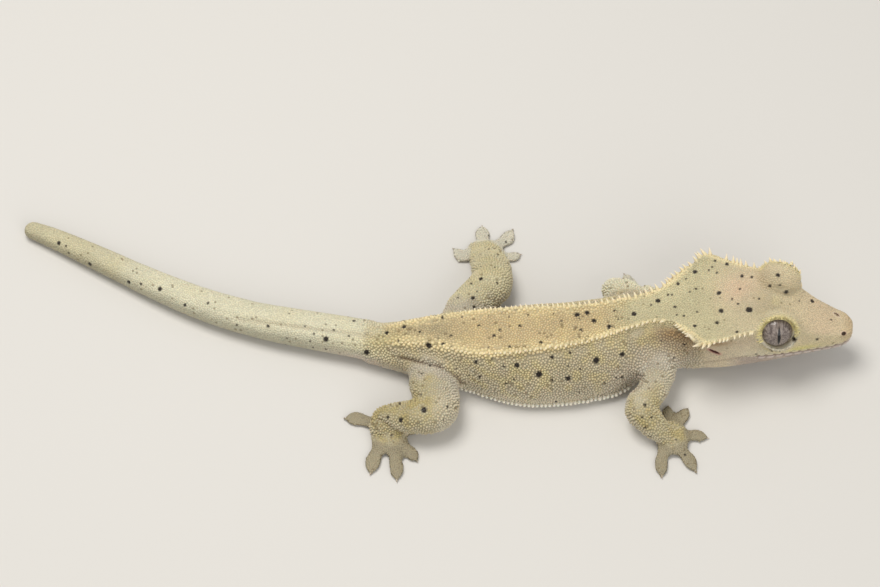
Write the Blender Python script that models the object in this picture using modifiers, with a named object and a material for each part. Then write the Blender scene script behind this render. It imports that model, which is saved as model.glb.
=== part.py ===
"""A crested gecko at life size, resting flat on the floor with its legs spread.

The animal faces +X with its left side at +Y, and the floor is z = 0.
Sizes in the tables are millimetres from a point beside the hips, and the meshes are made
in metres from the middle of the whole animal's box.
The flesh is modelled whole, as lofts that are fused, and then parted with thin cuts
into the parts that a person would name.
"""
import math

import bpy
import bmesh
import numpy as np
from mathutils import Matrix, Vector

MM = 0.001

# The middle of the finished animal's box, in the tables' frame
BOX_MIDDLE = (-2.23, -14.4)

# How fine the fused body is, how many triangles it keeps while it is cut, and how thin the cuts are
VOXEL = 0.33
SMOOTH_STEPS = 3
UNCUT_TRIANGLES = 24000
CUT = 0.3
CRUMB = 40
SLIVER = 0.004
OUTLINE_STEPS = 3
ROW_STEPS = 6
OVAL_POINTS = 16
CAP_ANGLES = (80, 62, 42, 20)
ROUND = (24, 16)
EYE_ROUND = (14, 10)

# The skull's frame: where its rear middle sits, and how far it turns from +X
HEAD_AT = (53.0, -11.9)
HEAD_TURN = math.radians(-5.5)

# Trunk and neck, hips to nape: x, y of the middle line, height of the back, then half width
# and height of the crest, of the flank and of the belly's edge, and height of the underside
TRUNK_ROWS = (
    (-15.0, -15.0, 7.4, 1.6, 7.2, 4.2, 3.9, 3.0, 0.5, -0.3),
    (-9.0, -15.8, 8.8, 2.3, 8.7, 5.1, 4.4, 4.2, 0.7, -0.3),
    (-3.0, -16.6, 10.8, 3.2, 10.8, 6.2, 5.2, 5.4, 0.9, -0.3),
    (3.0, -17.5, 12.0, 4.6, 12.1, 6.9, 5.0, 5.6, 1.0, -0.4),
    (8.0, -18.3, 12.7, 5.5, 12.9, 8.3, 4.4, 7.2, 1.0, -0.4),
    (13.0, -18.5, 13.2, 5.6, 13.4, 10.0, 4.1, 9.3, 1.0, -0.4),
    (18.5, -18.2, 13.5, 5.4, 13.8, 11.0, 4.0, 10.7, 1.0, -0.4),
    (26.5, -17.4, 13.6, 4.9, 13.9, 11.2, 4.1, 10.8, 1.1, -0.4),
    (33.0, -16.0, 13.7, 4.2, 14.0, 10.6, 4.5, 10.4, 1.2, -0.4),
    (38.0, -14.6, 13.8, 3.8, 14.2, 9.6, 5.4, 8.8, 1.4, -0.3),
    (43.0, -13.4, 14.0, 3.9, 14.4, 8.7, 6.2, 8.0, 2.0, 0.6),
    (47.0, -12.8, 14.2, 5.2, 14.7, 8.5, 6.8, 8.8, 3.2, 1.8),
    (51.0, -12.2, 14.5, 8.2, 15.1, 8.1, 8.0, 9.3, 3.6, 2.2),
    (54.5, -12.1, 14.8, 10.4, 15.4, 8.0, 8.8, 9.3, 3.9, 2.5),
)

# The same for the head, nape to snout, where the first value runs along the skull
HEAD_ROWS = (
    (-6.0, 14.3, 5.4, 14.7, 7.9, 7.8, 8.8, 3.5, 2.1),
    (-2.0, 14.8, 8.8, 15.2, 8.0, 8.8, 9.4, 3.8, 2.2),
    (1.0, 14.9, 11.6, 15.4, 8.4, 9.4, 9.5, 4.1, 2.5),
    (5.0, 15.0, 10.7, 15.7, 8.8, 9.8, 9.4, 4.4, 2.9),
    (9.0, 15.3, 9.4, 16.1, 8.8, 10.4, 8.9, 4.9, 3.4),
    (12.0, 15.6, 8.5, 16.8, 8.4, 10.9, 8.3, 5.4, 3.8),
    (16.0, 15.8, 7.2, 17.4, 7.6, 11.3, 7.4, 5.9, 4.3),
    (20.0, 14.4, 5.7, 15.4, 6.4, 10.9, 6.3, 6.2, 4.8),
    (24.0, 12.7, 4.5, 12.7, 5.3, 10.0, 5.2, 6.6, 5.2),
    (28.0, 11.4, 3.4, 11.2, 4.1, 9.2, 4.1, 6.9, 5.7),
    (30.7, 10.8, 2.7, 10.5, 3.2, 9.0, 3.1, 7.1, 6.1),
    (32.3, 9.9, 1.2, 9.7, 1.6, 8.9, 1.6, 7.7, 7.0),
)

# Tail, hips to tip: x, y, half width, half height, the underside just below the floor
TAIL_ROWS = (
    (-5.0, -16.2, 4.3, 3.9),
    (-12.0, -15.3, 4.3, 3.9),
    (-17.3, -13.9, 4.4, 3.9),
    (-28.0, -11.6, 4.2, 3.8),
    (-38.7, -9.0, 3.9, 3.6),
    (-49.6, -5.0, 3.6, 3.3),
    (-60.7, 0.5, 3.2, 3.0),
    (-72.0, 6.9, 2.8, 2.65),
    (-82.5, 12.8, 2.35, 2.2),
    (-87.9, 15.5, 2.0, 1.85),
)
SINK = 0.2

# Crest and fringe beads, which reach out to the spines' tips
CREST_BEAD = 0.5
CORNER_BEAD = 0.8
BELLY_BEAD = 0.45
CREST_BEAD_RISE = 0.25
CORNER_AT = 1.0
CORNER_WIDTH = 4.0
BELLY_BEAD_WIDTH = 1.6
RING_THIN = 3

# Eyes, brows and mouth, in the skull's frame: left and right by sign, as the head is held a
# little rolled, its left side up
EYE_AT = {1: (16.3, 5.6, 14.4), -1: (16.05, -5.0, 14.2)}
EYE_RADIUS = 3.5
EYE_FACING = (0.14, 0.89, 0.43)
EYE_OPENING = 3.2
OPENING_AT = 4.0
OPENING_DEPTH = 6.0
OPENING_FLARE = 1.5
BROW_AT = {1: (16.3, 6.4, 14.6), -1: (16.4, -5.1, 13.4)}
BROW_RADII = (4.9, 4.3, 5.5)
MOUTH_LINE = (
    (34.5, 8.1), (31.0, 7.7), (27.0, 7.3), (20.0, 7.3),
    (13.8, 7.9), (10.8, 7.3), (9.2, 4.6), (8.6, 1.4),
)
MOUTH_REACH = 13.0

# Limbs: x, y, z, half width, half height from the body to the wrist or ankle
LIMBS = {
    "fore_right": (
        (45.0, -18.5, 5.8, 4.4, 3.6),
        (44.7, -23.6, 5.6, 3.8, 3.1),
        (43.3, -28.2, 5.5, 3.1, 2.8),
        (40.9, -31.9, 5.0, 3.3, 3.1),
        (42.7, -34.4, 3.8, 3.0, 2.8),
        (44.9, -35.8, 2.5, 2.7, 2.1),
        (47.0, -35.7, 1.3, 2.9, 1.3),
    ),
    "fore_left": (
        (44.6, -9.5, 8.0, 3.4, 3.8),
        (41.8, -6.4, 7.8, 2.9, 3.2),
        (38.8, -4.1, 7.0, 2.6, 2.8),
        (36.2, -2.6, 5.5, 2.6, 2.6),
        (38.8, -2.3, 3.8, 2.3, 2.3),
        (41.6, -2.5, 2.4, 2.2, 1.8),
        (43.8, -1.7, 1.3, 2.5, 1.3),
    ),
    "hind_right": (
        (-2.4, -18.5, 4.7, 4.6, 3.4),
        (-1.6, -24.2, 4.9, 5.1, 3.6),
        (-0.8, -29.2, 5.0, 4.9, 3.7),
        (-0.8, -33.0, 4.9, 4.1, 3.8),
        (-5.8, -33.9, 4.6, 3.6, 3.3),
        (-11.0, -33.0, 3.0, 2.6, 2.3),
        (-11.8, -35.0, 1.9, 2.8, 1.8),
    ),
    "hind_left": (
        (3.0, -14.5, 5.0, 4.4, 3.4),
        (5.2, -9.0, 5.4, 4.6, 3.7),
        (8.6, -4.2, 5.6, 4.4, 3.8),
        (11.1, -0.4, 4.9, 4.2, 3.8),
        (10.9, 3.6, 4.2, 4.2, 3.5),
        (10.2, 7.1, 2.7, 3.9, 2.45),
        (10.0, 9.0, 1.8, 3.8, 1.8),
    ),
}

# Palms: x, y, z, half length along X, half length along Y, half height
PALMS = {
    "fore_right": (47.6, -36.6, 1.1, 3.3, 4.2, 1.35),
    "fore_left": (44.0, -1.6, 1.1, 3.0, 2.9, 1.35),
    "hind_right": (-10.3, -37.1, 1.1, 3.9, 3.4, 1.4),
    "hind_left": (9.7, 10.4, 1.1, 4.2, 3.2, 1.4),
}

# Toes: root x, y, pad x, y, tip x, y, half width of the pad
TOES = {
    "fore_right": (
        (46.8, -34.0, 46.8, -30.9, 47.0, -28.1, 1.4),
        (48.4, -34.3, 49.8, -31.2, 51.2, -28.8, 1.5),
        (49.0, -35.8, 52.2, -35.7, 55.1, -36.4, 1.6),
        (48.2, -37.8, 50.4, -41.3, 51.9, -44.8, 1.65),
        (45.6, -38.0, 44.8, -42.4, 44.8, -46.0, 1.6),
    ),
    "fore_left": (
        (42.8, -0.4, 40.5, 2.6, 39.1, 5.2, 1.4),
        (44.4, -0.6, 45.3, 0.2, 46.1, 1.0, 1.1),
        (46.0, -0.7, 48.6, 0.0, 51.0, 0.8, 1.4),
        (46.4, -1.6, 49.2, -2.2, 51.6, -2.6, 1.4),
        (45.0, -2.8, 47.2, -4.3, 49.2, -5.2, 1.2),
    ),
    "hind_right": (
        (-12.9, -33.1, -17.0, -31.7, -20.0, -31.6, 1.85),
        (-12.2, -37.8, -13.5, -41.6, -14.2, -45.3, 1.85),
        (-9.7, -38.2, -8.8, -43.0, -8.7, -46.9, 1.7),
        (-8.3, -37.2, -5.9, -39.9, -4.4, -42.2, 1.6),
        (-8.8, -35.4, -6.0, -34.7, -3.8, -34.3, 1.15),
    ),
    "hind_left": (
        (7.6, 9.2, 4.8, 9.3, 2.5, 11.8, 1.65),
        (9.0, 12.0, 9.2, 14.8, 9.1, 18.0, 1.85),
        (11.8, 11.8, 14.4, 14.0, 15.9, 17.0, 1.75),
        (12.6, 9.6, 15.4, 9.3, 17.8, 10.1, 1.45),
        (11.6, 8.0, 13.2, 7.2, 14.5, 6.4, 1.1),
    ),
}
TOE_HALF_HEIGHT = 0.62
CLAW_RADIUS = 0.28
CLAW_PLACE = 1.88
CLAW_DROP = 0.25
TOE_STEPS = 3

# A toe from its root on: the place along it (root 0, pad 1, tip 2), the width as a share of the
# pad's, the height as a share of a toe's, and how much higher or lower it lies
TOE_SHAPE = (
    (0.0, 0.95, 1.25, 0.25),
    (0.5, 0.80, 1.0, 0.0),
    (1.0, 1.0, 1.0, -0.08),
    (1.45, 0.86, 1.0, -0.08),
    (1.7, 0.48, 0.85, -0.14),
)

# The block below the floor that flattens the underside
FLOOR_SIZE = (300.0, 300.0, 20.0)

# Cuts across the body: x, y of the middle, heading of the cut's face in degrees, half width,
# lowest and highest point
CROSS_CUTS = (
    (51.4, -12.1, -5.5, 13.5, 1.5, 20.0),
    (47.0, -13.6, 8.0, 10.5, 1.5, 20.0),
    (-13.1, -15.1, -11.0, 8.3, -1.5, 20.3),
    (-39.5, -8.7, -18.0, 7.0, -1.0, 12.0),
    (-66.0, 3.5, -29.5, 7.0, -1.0, 12.0),
)

# Cuts through the limbs: the middle, the way the cut faces, half width and half height
ROOT_CUTS = (
    ((44.4, -24.1, 6.0), (0.15, -0.99, 0.0), 4.7, 4.8),
    ((39.7, -4.2, 6.9), (0.0, 1.0, 0.0), 6.0, 5.6),
    ((-1.2, -24.3, 6.4), (-0.40, -0.91, 0.0), 7.4, 6.0),
    ((5.2, -8.2, 6.4), (-0.2, 0.98, 0.0), 7.6, 6.0),
)
MIDDLE_CUTS = (
    ((41.2, -31.8, 5.2), (0.0, -0.92, -0.40), 5.2, 5.0),
    ((38.4, -1.5, 5.4), (0.0, 0.001, -1.0), 5.8, 2.8),
    ((-0.8, -33.0, 4.9), (-0.62, -0.70, -0.29), 7.4, 6.0),
    ((10.6, -0.4, 4.9), (0.25, 0.93, -0.25), 6.4, 6.0),
)
END_CUTS = (
    ((44.9, -35.8, 2.5), (0.84, -0.23, -0.49), 5.2, 4.2),
    ((41.5, -2.0, 2.6), (0.80, 0.15, -0.58), 2.9, 3.4),
    ((-8.8, -35.4, 2.5), (-0.15, -0.35, -0.92), 6.8, 5.4),
    ((10.0, 6.5, 2.9), (-0.10, 0.75, -0.65), 6.0, 5.2),
)

# Middles of the pieces, by which they are told apart once the cuts are made, and how many
# triangles each keeps
PIECES = {
    "head": ((65.0, -13.0, 11.0), 2100),
    "lower_jaw": ((72.0, -13.8, 5.8), 330),
    "neck": ((49.4, -12.6, 9.0), 300),
    "trunk": ((22.0, -17.5, 6.0), 1700),
    "tail_base": ((-26.0, -12.0, 3.7), 330),
    "tail_middle": ((-53.0, -3.7, 3.2), 320),
    "tail_tip": ((-77.0, 9.8, 2.4), 320),
    "upper_arm_right": ((42.9, -27.5, 6.5), 210),
    "forearm_right": ((43.0, -34.2, 4.0), 210),
    "hand_right": ((48.0, -36.5, 1.0), 580),
    "upper_arm_left": ((38.5, -3.6, 7.2), 210),
    "forearm_left": ((38.6, -2.6, 4.0), 210),
    "hand_left": ((44.5, -1.0, 1.0), 580),
    "thigh_right": ((-1.0, -28.3, 6.0), 210),
    "shank_right": ((-5.0, -33.7, 4.6), 210),
    "foot_right": ((-10.8, -37.5, 1.0), 580),
    "thigh_left": ((8.0, -5.0, 6.2), 210),
    "shank_left": ((10.3, 3.4, 4.3), 210),
    "foot_left": ((10.1, 11.0, 1.0), 580),
}

SKIN_COLOUR = (0.80, 0.72, 0.50)
EYE_COLOUR = (0.36, 0.31, 0.29)


def clear_scene():
    for thing in list(bpy.data.objects):
        bpy.data.objects.remove(thing, do_unlink=True)


def collection(name):
    made = bpy.data.collections.new(name)
    bpy.context.scene.collection.children.link(made)
    return made


def material(name, colour, roughness):
    made = bpy.data.materials.new(name)
    made.use_nodes = True
    shader = made.node_tree.nodes["Principled BSDF"]
    shader.inputs["Base Color"].default_value = (*colour, 1.0)
    shader.inputs["Roughness"].default_value = roughness
    shader.inputs["Metallic"].default_value = 0.0
    return made


def smooth_rows(rows, steps):
    """A smooth curve through rows of values, passing through every one of them."""
    rows = np.asarray(rows, dtype=float)
    before = 2 * rows[0] - rows[1]
    after = 2 * rows[-1] - rows[-2]
    padded = np.vstack([before, rows, after])
    out = []
    for i in range(len(rows) - 1):
        a, b, c, d = padded[i:i + 4]
        for step in range(steps):
            t = step / steps
            out.append(0.5 * (2 * b + (c - a) * t + (2 * a - 5 * b + 4 * c - d) * t ** 2
                              + (3 * b - a - 3 * c + d) * t ** 3))
    out.append(rows[-1])
    return np.array(out)


def half_section(row):
    """Side and height of a section's outline, back to belly, from one row's measures."""
    top, crest_w, crest_z, flank_w, flank_z, belly_w, belly_z, bottom = row
    return (
        (0.0, top),
        (crest_w * 0.5, top + (crest_z - top) * 0.35),
        (crest_w, crest_z),
        (flank_w * 0.62 + crest_w * 0.38, flank_z * 0.5 + crest_z * 0.5),
        (flank_w, flank_z),
        (belly_w, belly_z),
        (belly_w * 0.72, bottom),
        (0.0, bottom),
    )


def section(row):
    """The whole closed outline of a section, as side and height."""
    right = smooth_rows(half_section(row), OUTLINE_STEPS)
    left = right[-2:0:-1] * (-1, 1)
    return np.vstack([right, left])


def heading_frames(path):
    """The unit vectors along and to the left of each point of a level path."""
    along = np.gradient(path, axis=0)
    along /= np.linalg.norm(along, axis=1)[:, None]
    left = np.stack([-along[:, 1], along[:, 0]], axis=1)
    return along, left


def body_rings(rows):
    """Rings of a body whose rows start with x and y of the middle line."""
    fine = smooth_rows(rows, ROW_STEPS)
    along, left = heading_frames(fine[:, :2])
    rings = []
    for row, side in zip(fine, left):
        outline = section(row[2:])
        ring = np.empty((len(outline), 3))
        ring[:, :2] = row[:2] + outline[:, :1] * side
        ring[:, 2] = outline[:, 1]
        rings.append(ring)
    return rings


def head_point(along, side, height):
    """A point of the skull's frame in the world, in millimetres."""
    cos, sin = math.cos(HEAD_TURN), math.sin(HEAD_TURN)
    return (HEAD_AT[0] + along * cos - side * sin, HEAD_AT[1] + along * sin + side * cos, height)


def head_rows():
    """The head's rows with x and y of the skull's middle line in front."""
    rows = []
    for along, *measures in HEAD_ROWS:
        x, y, _ = head_point(along, 0.0, 0.0)
        rows.append((x, y, *measures))
    return rows


def tail_rows():
    return [(x, y, half_height - SINK, half_width, half_height)
            for x, y, half_width, half_height in TAIL_ROWS]


def cap_ring(end, way, size, angle):
    """The middle, heading and half sizes of one ring of a tube's round end."""
    reach = math.sin(math.radians(angle)) * size[1]
    return end + way * reach, way, size * math.cos(math.radians(angle))


def sweep_rings(rows, steps=ROW_STEPS):
    """Rings of an oval tube with round ends, from x, y, z, half width and half height."""
    fine = smooth_rows(rows, steps) if len(rows) > 2 else np.asarray(rows, dtype=float)
    path = fine[:, :3]
    along = np.gradient(path, axis=0)
    along /= np.linalg.norm(along, axis=1)[:, None]
    capped = [cap_ring(path[0], along[0], fine[0, 3:], -angle) for angle in CAP_ANGLES]
    capped += list(zip(path, along, fine[:, 3:]))
    capped += [cap_ring(path[-1], along[-1], fine[-1, 3:], angle) for angle in reversed(CAP_ANGLES)]
    turns = np.linspace(0, 2 * math.pi, OVAL_POINTS, endpoint=False)
    rings = []
    for point, way, (half_width, half_height) in capped:
        side = np.cross((0.0, 0.0, 1.0), way)
        side /= max(np.linalg.norm(side), 1e-6)
        up = np.cross(way, side)
        rings.append(point + np.outer(np.cos(turns) * half_width, side)
                     + np.outer(np.sin(turns) * half_height, up))
    return rings


def add_rings(shape, rings):
    """Loft through rings of equal count, closed with a flat cap at each end."""
    made = [[shape.verts.new(Vector(point) * MM) for point in ring] for ring in rings]
    count = len(made[0])
    for near, far in zip(made, made[1:]):
        for i in range(count):
            j = (i + 1) % count
            shape.faces.new((near[i], far[i], far[j], near[j]))
    shape.faces.new(made[0])
    shape.faces.new(reversed(made[-1]))


def add_ellipsoid(shape, centre, radii, turn=0.0):
    place = Matrix.Translation(Vector(centre) * MM) @ Matrix.Rotation(turn, 4, "Z")
    place = place @ Matrix.Diagonal((*(radius * MM for radius in radii), 1.0))
    bmesh.ops.create_uvsphere(shape, u_segments=ROUND[0], v_segments=ROUND[1], radius=1.0, matrix=place)


def crest_lines():
    """The two crests' middle lines, tail to brow, left and then right."""
    trunk = smooth_rows(TRUNK_ROWS[1:-2], ROW_STEPS)
    head = smooth_rows(HEAD_ROWS[1:6], ROW_STEPS)
    lines = []
    _, left = heading_frames(trunk[:, :2])
    for sign in (1, -1):
        line = []
        for row, side in zip(trunk, left):
            x, y = row[:2] + side * sign * row[3]
            line.append((x, y, row[4], CREST_BEAD, CREST_BEAD + CREST_BEAD_RISE))
        for row in head:
            corner = math.exp(-((row[0] - CORNER_AT) / CORNER_WIDTH) ** 2)
            bead = CREST_BEAD + (CORNER_BEAD - CREST_BEAD) * corner
            x, y, z = head_point(row[0], sign * row[2], row[3])
            line.append((x, y, z, bead, bead))
        lines.append(line)
    return lines


def belly_lines():
    """The fringes along the belly's edges, left and then right."""
    rows = smooth_rows(TRUNK_ROWS[3:10], ROW_STEPS)
    _, left = heading_frames(rows[:, :2])
    lines = []
    for sign in (1, -1):
        line = []
        for row, side in zip(rows, left):
            x, y = row[:2] + side * sign * (row[7] + BELLY_BEAD)
            line.append((x, y, row[8] + BELLY_BEAD, BELLY_BEAD * BELLY_BEAD_WIDTH, BELLY_BEAD))
        lines.append(line)
    return lines


def toe_rings(root_x, root_y, pad_x, pad_y, tip_x, tip_y, pad_half):
    """A toe: a broad neck, a wider flat pad and a small claw at its tip."""
    root, pad, tip = (np.array(p) for p in ((root_x, root_y), (pad_x, pad_y), (tip_x, tip_y)))

    def at(place):
        if place <= 1.0:
            return root + (pad - root) * place
        return pad + (tip - pad) * (place - 1.0)

    rows = []
    for place, width, height, lift in TOE_SHAPE:
        rows.append((*at(place), TOE_HALF_HEIGHT + lift, pad_half * width, TOE_HALF_HEIGHT * height))
    rows.append((*at(CLAW_PLACE), TOE_HALF_HEIGHT - CLAW_DROP, CLAW_RADIUS, CLAW_RADIUS))
    return sweep_rings(rows, TOE_STEPS)


def fused_body():
    """All the flesh, fused into one closed surface."""
    shape = bmesh.new()
    add_rings(shape, body_rings(TRUNK_ROWS))
    add_rings(shape, body_rings(head_rows()))
    add_rings(shape, sweep_rings(tail_rows()))
    for line in crest_lines() + belly_lines():
        add_rings(shape, sweep_rings(line[::RING_THIN]))
    for sign in (1, -1):
        add_ellipsoid(shape, head_point(*BROW_AT[sign]), BROW_RADII, HEAD_TURN)
    for name, rows in LIMBS.items():
        add_rings(shape, sweep_rings(rows))
        x, y, z, *radii = PALMS[name]
        add_ellipsoid(shape, (x, y, z), radii)
        for toe in TOES[name]:
            add_rings(shape, toe_rings(*toe))
    bmesh.ops.recalc_face_normals(shape, faces=shape.faces)
    return shape


def new_object(name, shape, home):
    mesh = bpy.data.meshes.new(name)
    shape.to_mesh(mesh)
    shape.free()
    thing = bpy.data.objects.new(name, mesh)
    home.objects.link(thing)
    return thing


def centre(thing):
    """Move a finished mesh so that the animal's box stands over the origin."""
    thing.data.transform(Matrix.Translation(Vector((-BOX_MIDDLE[0], -BOX_MIDDLE[1], 0.0)) * MM))


def settle(thing):
    """Replace an object's mesh with what its modifiers make of it."""
    bpy.context.view_layer.update()
    evaluated = thing.evaluated_get(bpy.context.evaluated_depsgraph_get())
    mesh = bpy.data.meshes.new_from_object(evaluated)
    thing.modifiers.clear()
    old = thing.data
    thing.data = mesh
    bpy.data.meshes.remove(old)


def even_out(thing):
    """Fuse the overlapping lofts and thin out their faces."""
    fuse = thing.modifiers.new("fuse", "REMESH")
    fuse.mode = "VOXEL"
    fuse.voxel_size = VOXEL * MM
    soften = thing.modifiers.new("soften", "SMOOTH")
    soften.factor = 0.5
    soften.iterations = SMOOTH_STEPS
    settle(thing)
    thin = thing.modifiers.new("thin", "DECIMATE")
    thin.ratio = UNCUT_TRIANGLES / triangles(thing.data)
    settle(thing)


def add_slab(shape, centre, normal, half_width, half_height):
    """A thin plate across a direction, with its width kept level."""
    way = Vector(normal).normalized()
    side = Vector((0, 0, 1)).cross(way).normalized()
    up = side.cross(way)
    turn = Matrix((side, way, up)).transposed().to_4x4()
    size = Matrix.Diagonal((half_width * 2 * MM, CUT * MM, half_height * 2 * MM, 1.0))
    place = Matrix.Translation(Vector(centre) * MM) @ turn @ size
    bmesh.ops.create_cube(shape, size=1.0, matrix=place)


def mouth_slab(home):
    """The cut along the mouth and down behind the jaw's hinge."""
    shape = bmesh.new()
    line = smooth_rows(MOUTH_LINE, 3)
    pairs = []
    for along, height in line:
        pair = (head_point(along, side, height) for side in (MOUTH_REACH, -MOUTH_REACH))
        pairs.append([shape.verts.new(Vector(point) * MM) for point in pair])
    for near, far in zip(pairs, pairs[1:]):
        shape.faces.new((near[0], near[1], far[1], far[0]))
    slab = new_object("cut_mouth", shape, home)
    thick = slab.modifiers.new("thick", "SOLIDIFY")
    thick.thickness = CUT * MM
    thick.offset = 0.0
    settle(slab)
    return slab


def cross_cuts(home):
    shape = bmesh.new()
    for x, y, turn, half_width, low, high in CROSS_CUTS:
        normal = (math.cos(math.radians(turn)), math.sin(math.radians(turn)), 0.0)
        add_slab(shape, (x, y, (low + high) / 2), normal, half_width, (high - low) / 2)
    return new_object("cut_across", shape, home)


def limb_cuts(name, cuts, home):
    shape = bmesh.new()
    for centre, normal, half_width, half_height in cuts:
        add_slab(shape, centre, normal, half_width, half_height)
    return new_object(name, shape, home)


def floor_cut(home):
    shape = bmesh.new()
    middle = Vector((*BOX_MIDDLE, -FLOOR_SIZE[2] / 2)) * MM
    place = Matrix.Translation(middle) @ Matrix.Diagonal((*(size * MM for size in FLOOR_SIZE), 1.0))
    bmesh.ops.create_cube(shape, size=1.0, matrix=place)
    return new_object("cut_floor", shape, home)


def eye_cuts(home):
    """The sockets, and the round openings of the lidless eyes."""
    sockets = bmesh.new()
    openings = bmesh.new()
    for sign in (1, -1):
        place = eye_place(sign) @ Matrix.Scale((EYE_RADIUS + CUT) * MM, 4)
        bmesh.ops.create_uvsphere(sockets, u_segments=ROUND[0], v_segments=ROUND[1], radius=1.0,
                                  matrix=place)
        outward = eye_place(sign) @ Matrix.Translation((0.0, 0.0, OPENING_AT * MM))
        bmesh.ops.create_cone(openings, cap_ends=True, segments=ROUND[0], radius1=EYE_OPENING * MM,
                              radius2=EYE_OPENING * OPENING_FLARE * MM, depth=OPENING_DEPTH * MM,
                              matrix=outward)
    return [new_object("cut_sockets", sockets, home), new_object("cut_openings", openings, home)]


def cutters(home):
    """Every thin cut, the floor and the eye sockets, as closed cutters."""
    made = [
        floor_cut(home),
        *eye_cuts(home),
        cross_cuts(home),
        limb_cuts("cut_roots", ROOT_CUTS, home),
        limb_cuts("cut_middles", MIDDLE_CUTS, home),
        limb_cuts("cut_ends", END_CUTS, home),
        mouth_slab(home),
    ]
    for cutter in made:
        cutter.hide_render = True
        cutter.display_type = "WIRE"
    return made


def eye_place(sign):
    """Where an eyeball sits, its pole facing out of the socket."""
    centre = Vector(head_point(*EYE_AT[sign])) * MM
    facing = Vector((EYE_FACING[0], sign * EYE_FACING[1], EYE_FACING[2]))
    facing.rotate(Matrix.Rotation(HEAD_TURN, 3, "Z"))
    return Matrix.Translation(centre) @ facing.to_track_quat("Z", "Y").to_matrix().to_4x4()


def eyeball(sign, home):
    shape = bmesh.new()
    place = eye_place(sign) @ Matrix.Scale(EYE_RADIUS * MM, 4)
    bmesh.ops.create_uvsphere(shape, u_segments=EYE_ROUND[0], v_segments=EYE_ROUND[1], radius=1.0,
                              matrix=place)
    thing = new_object("eye_left" if sign > 0 else "eye_right", shape, home)
    thing.data.shade_smooth()
    return thing


def part_flesh(flesh, tools):
    """Cut the fused body and return its loose pieces."""
    for tool in tools:
        cut = flesh.modifiers.new("cut", "BOOLEAN")
        cut.operation = "DIFFERENCE"
        cut.object = tool
        cut.solver = "EXACT"
    settle(flesh)
    shape = bmesh.new()
    shape.from_mesh(flesh.data)
    pieces = []
    left = set(shape.verts)
    while left:
        front = [left.pop()]
        found = set(front)
        while front:
            vert = front.pop()
            for edge in vert.link_edges:
                other = edge.other_vert(vert)
                if other not in found:
                    found.add(other)
                    front.append(other)
        left -= found
        pieces.append(found)
    return shape, pieces


def own_shape(verts):
    """A shape of its own from one loose piece, with the slivers left by the cuts welded."""
    ordered = sorted(verts, key=lambda vert: vert.index)
    faces = {face for vert in verts for face in vert.link_faces}
    shape = bmesh.new()
    twin = {vert: shape.verts.new(vert.co) for vert in ordered}
    for face in sorted(faces, key=lambda face: face.index):
        shape.faces.new([twin[vert] for vert in face.verts])
    bmesh.ops.remove_doubles(shape, verts=shape.verts, dist=SLIVER * MM)
    bmesh.ops.recalc_face_normals(shape, faces=shape.faces)
    return shape


def trim_flaps(mesh):
    """Take off the lone triangles that thinning can leave standing on an edge."""
    shape = bmesh.new()
    shape.from_mesh(mesh)
    flaps = []
    for face in shape.faces:
        sharers = [len(edge.link_faces) for edge in face.edges]
        if min(sharers) == 1 and max(sharers) > 2:
            flaps.append(face)
    bmesh.ops.delete(shape, geom=flaps, context="FACES")
    shape.to_mesh(mesh)
    shape.free()


def triangles(mesh):
    return sum(len(face.vertices) - 2 for face in mesh.polygons)


def name_pieces(shape, pieces, home, skin):
    """Make one object of each loose piece but the crumbs, named by the nearest middle."""
    spots = {name: Vector(spot) * MM for name, (spot, _) in PIECES.items()}
    whole = [verts for verts in pieces if len(verts) > CRUMB]
    for verts in sorted(whole, key=len, reverse=True):
        middle = sum((vert.co for vert in verts), Vector()) / len(verts)
        name = min(spots, key=lambda key: (spots[key] - middle).length)
        thing = new_object(name, own_shape(verts), home)
        thing.data.shade_smooth()
        thing.data.materials.append(skin)
        thin = thing.modifiers.new("thin", "DECIMATE")
        thin.ratio = min(1.0, PIECES[name][1] / triangles(thing.data))
        settle(thing)
        trim_flaps(thing.data)
        del spots[name]


def build():
    clear_scene()
    home = collection("crested_gecko")
    workshop = collection("cutters")
    skin = material("gecko_skin", SKIN_COLOUR, 0.6)
    eye = material("gecko_eye", EYE_COLOUR, 0.15)
    flesh = new_object("flesh", fused_body(), workshop)
    even_out(flesh)
    shape, pieces = part_flesh(flesh, cutters(workshop))
    name_pieces(shape, pieces, home, skin)
    shape.free()
    bpy.data.objects.remove(flesh, do_unlink=True)
    for sign in (1, -1):
        eyeball(sign, home).data.materials.append(eye)
    for thing in home.objects:
        centre(thing)


build()
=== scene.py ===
"""The looks of a life-size crested gecko that lies on a plain pale floor.

The tables and all the shaping are in millimetres from a point beside the hips. Pieces are
made in metres from the middle of the whole animal's box, as the frame is.
The animal faces +X with its left side at +Y.
"""
import math

import bpy
import bmesh
import numpy as np
from mathutils import Matrix, Vector
from mathutils.bvhtree import BVHTree
from mathutils.kdtree import KDTree


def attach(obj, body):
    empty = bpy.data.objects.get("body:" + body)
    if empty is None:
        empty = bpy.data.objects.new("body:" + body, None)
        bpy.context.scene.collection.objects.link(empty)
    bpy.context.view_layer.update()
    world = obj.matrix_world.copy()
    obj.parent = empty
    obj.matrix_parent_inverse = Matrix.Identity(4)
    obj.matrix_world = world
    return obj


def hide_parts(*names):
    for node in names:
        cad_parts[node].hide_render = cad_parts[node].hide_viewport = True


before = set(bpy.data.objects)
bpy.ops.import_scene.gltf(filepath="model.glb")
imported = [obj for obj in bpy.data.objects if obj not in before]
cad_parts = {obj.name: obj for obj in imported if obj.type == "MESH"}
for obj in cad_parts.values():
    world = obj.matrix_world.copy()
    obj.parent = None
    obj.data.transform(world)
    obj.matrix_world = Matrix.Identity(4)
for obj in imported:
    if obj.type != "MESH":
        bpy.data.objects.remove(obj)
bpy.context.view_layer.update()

MM = 0.001
BOX_MIDDLE = np.array((-2.23, -14.4, 0.0))
EYES = ("eye_left", "eye_right")
FLESH = sorted(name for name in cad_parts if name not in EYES)

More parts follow.
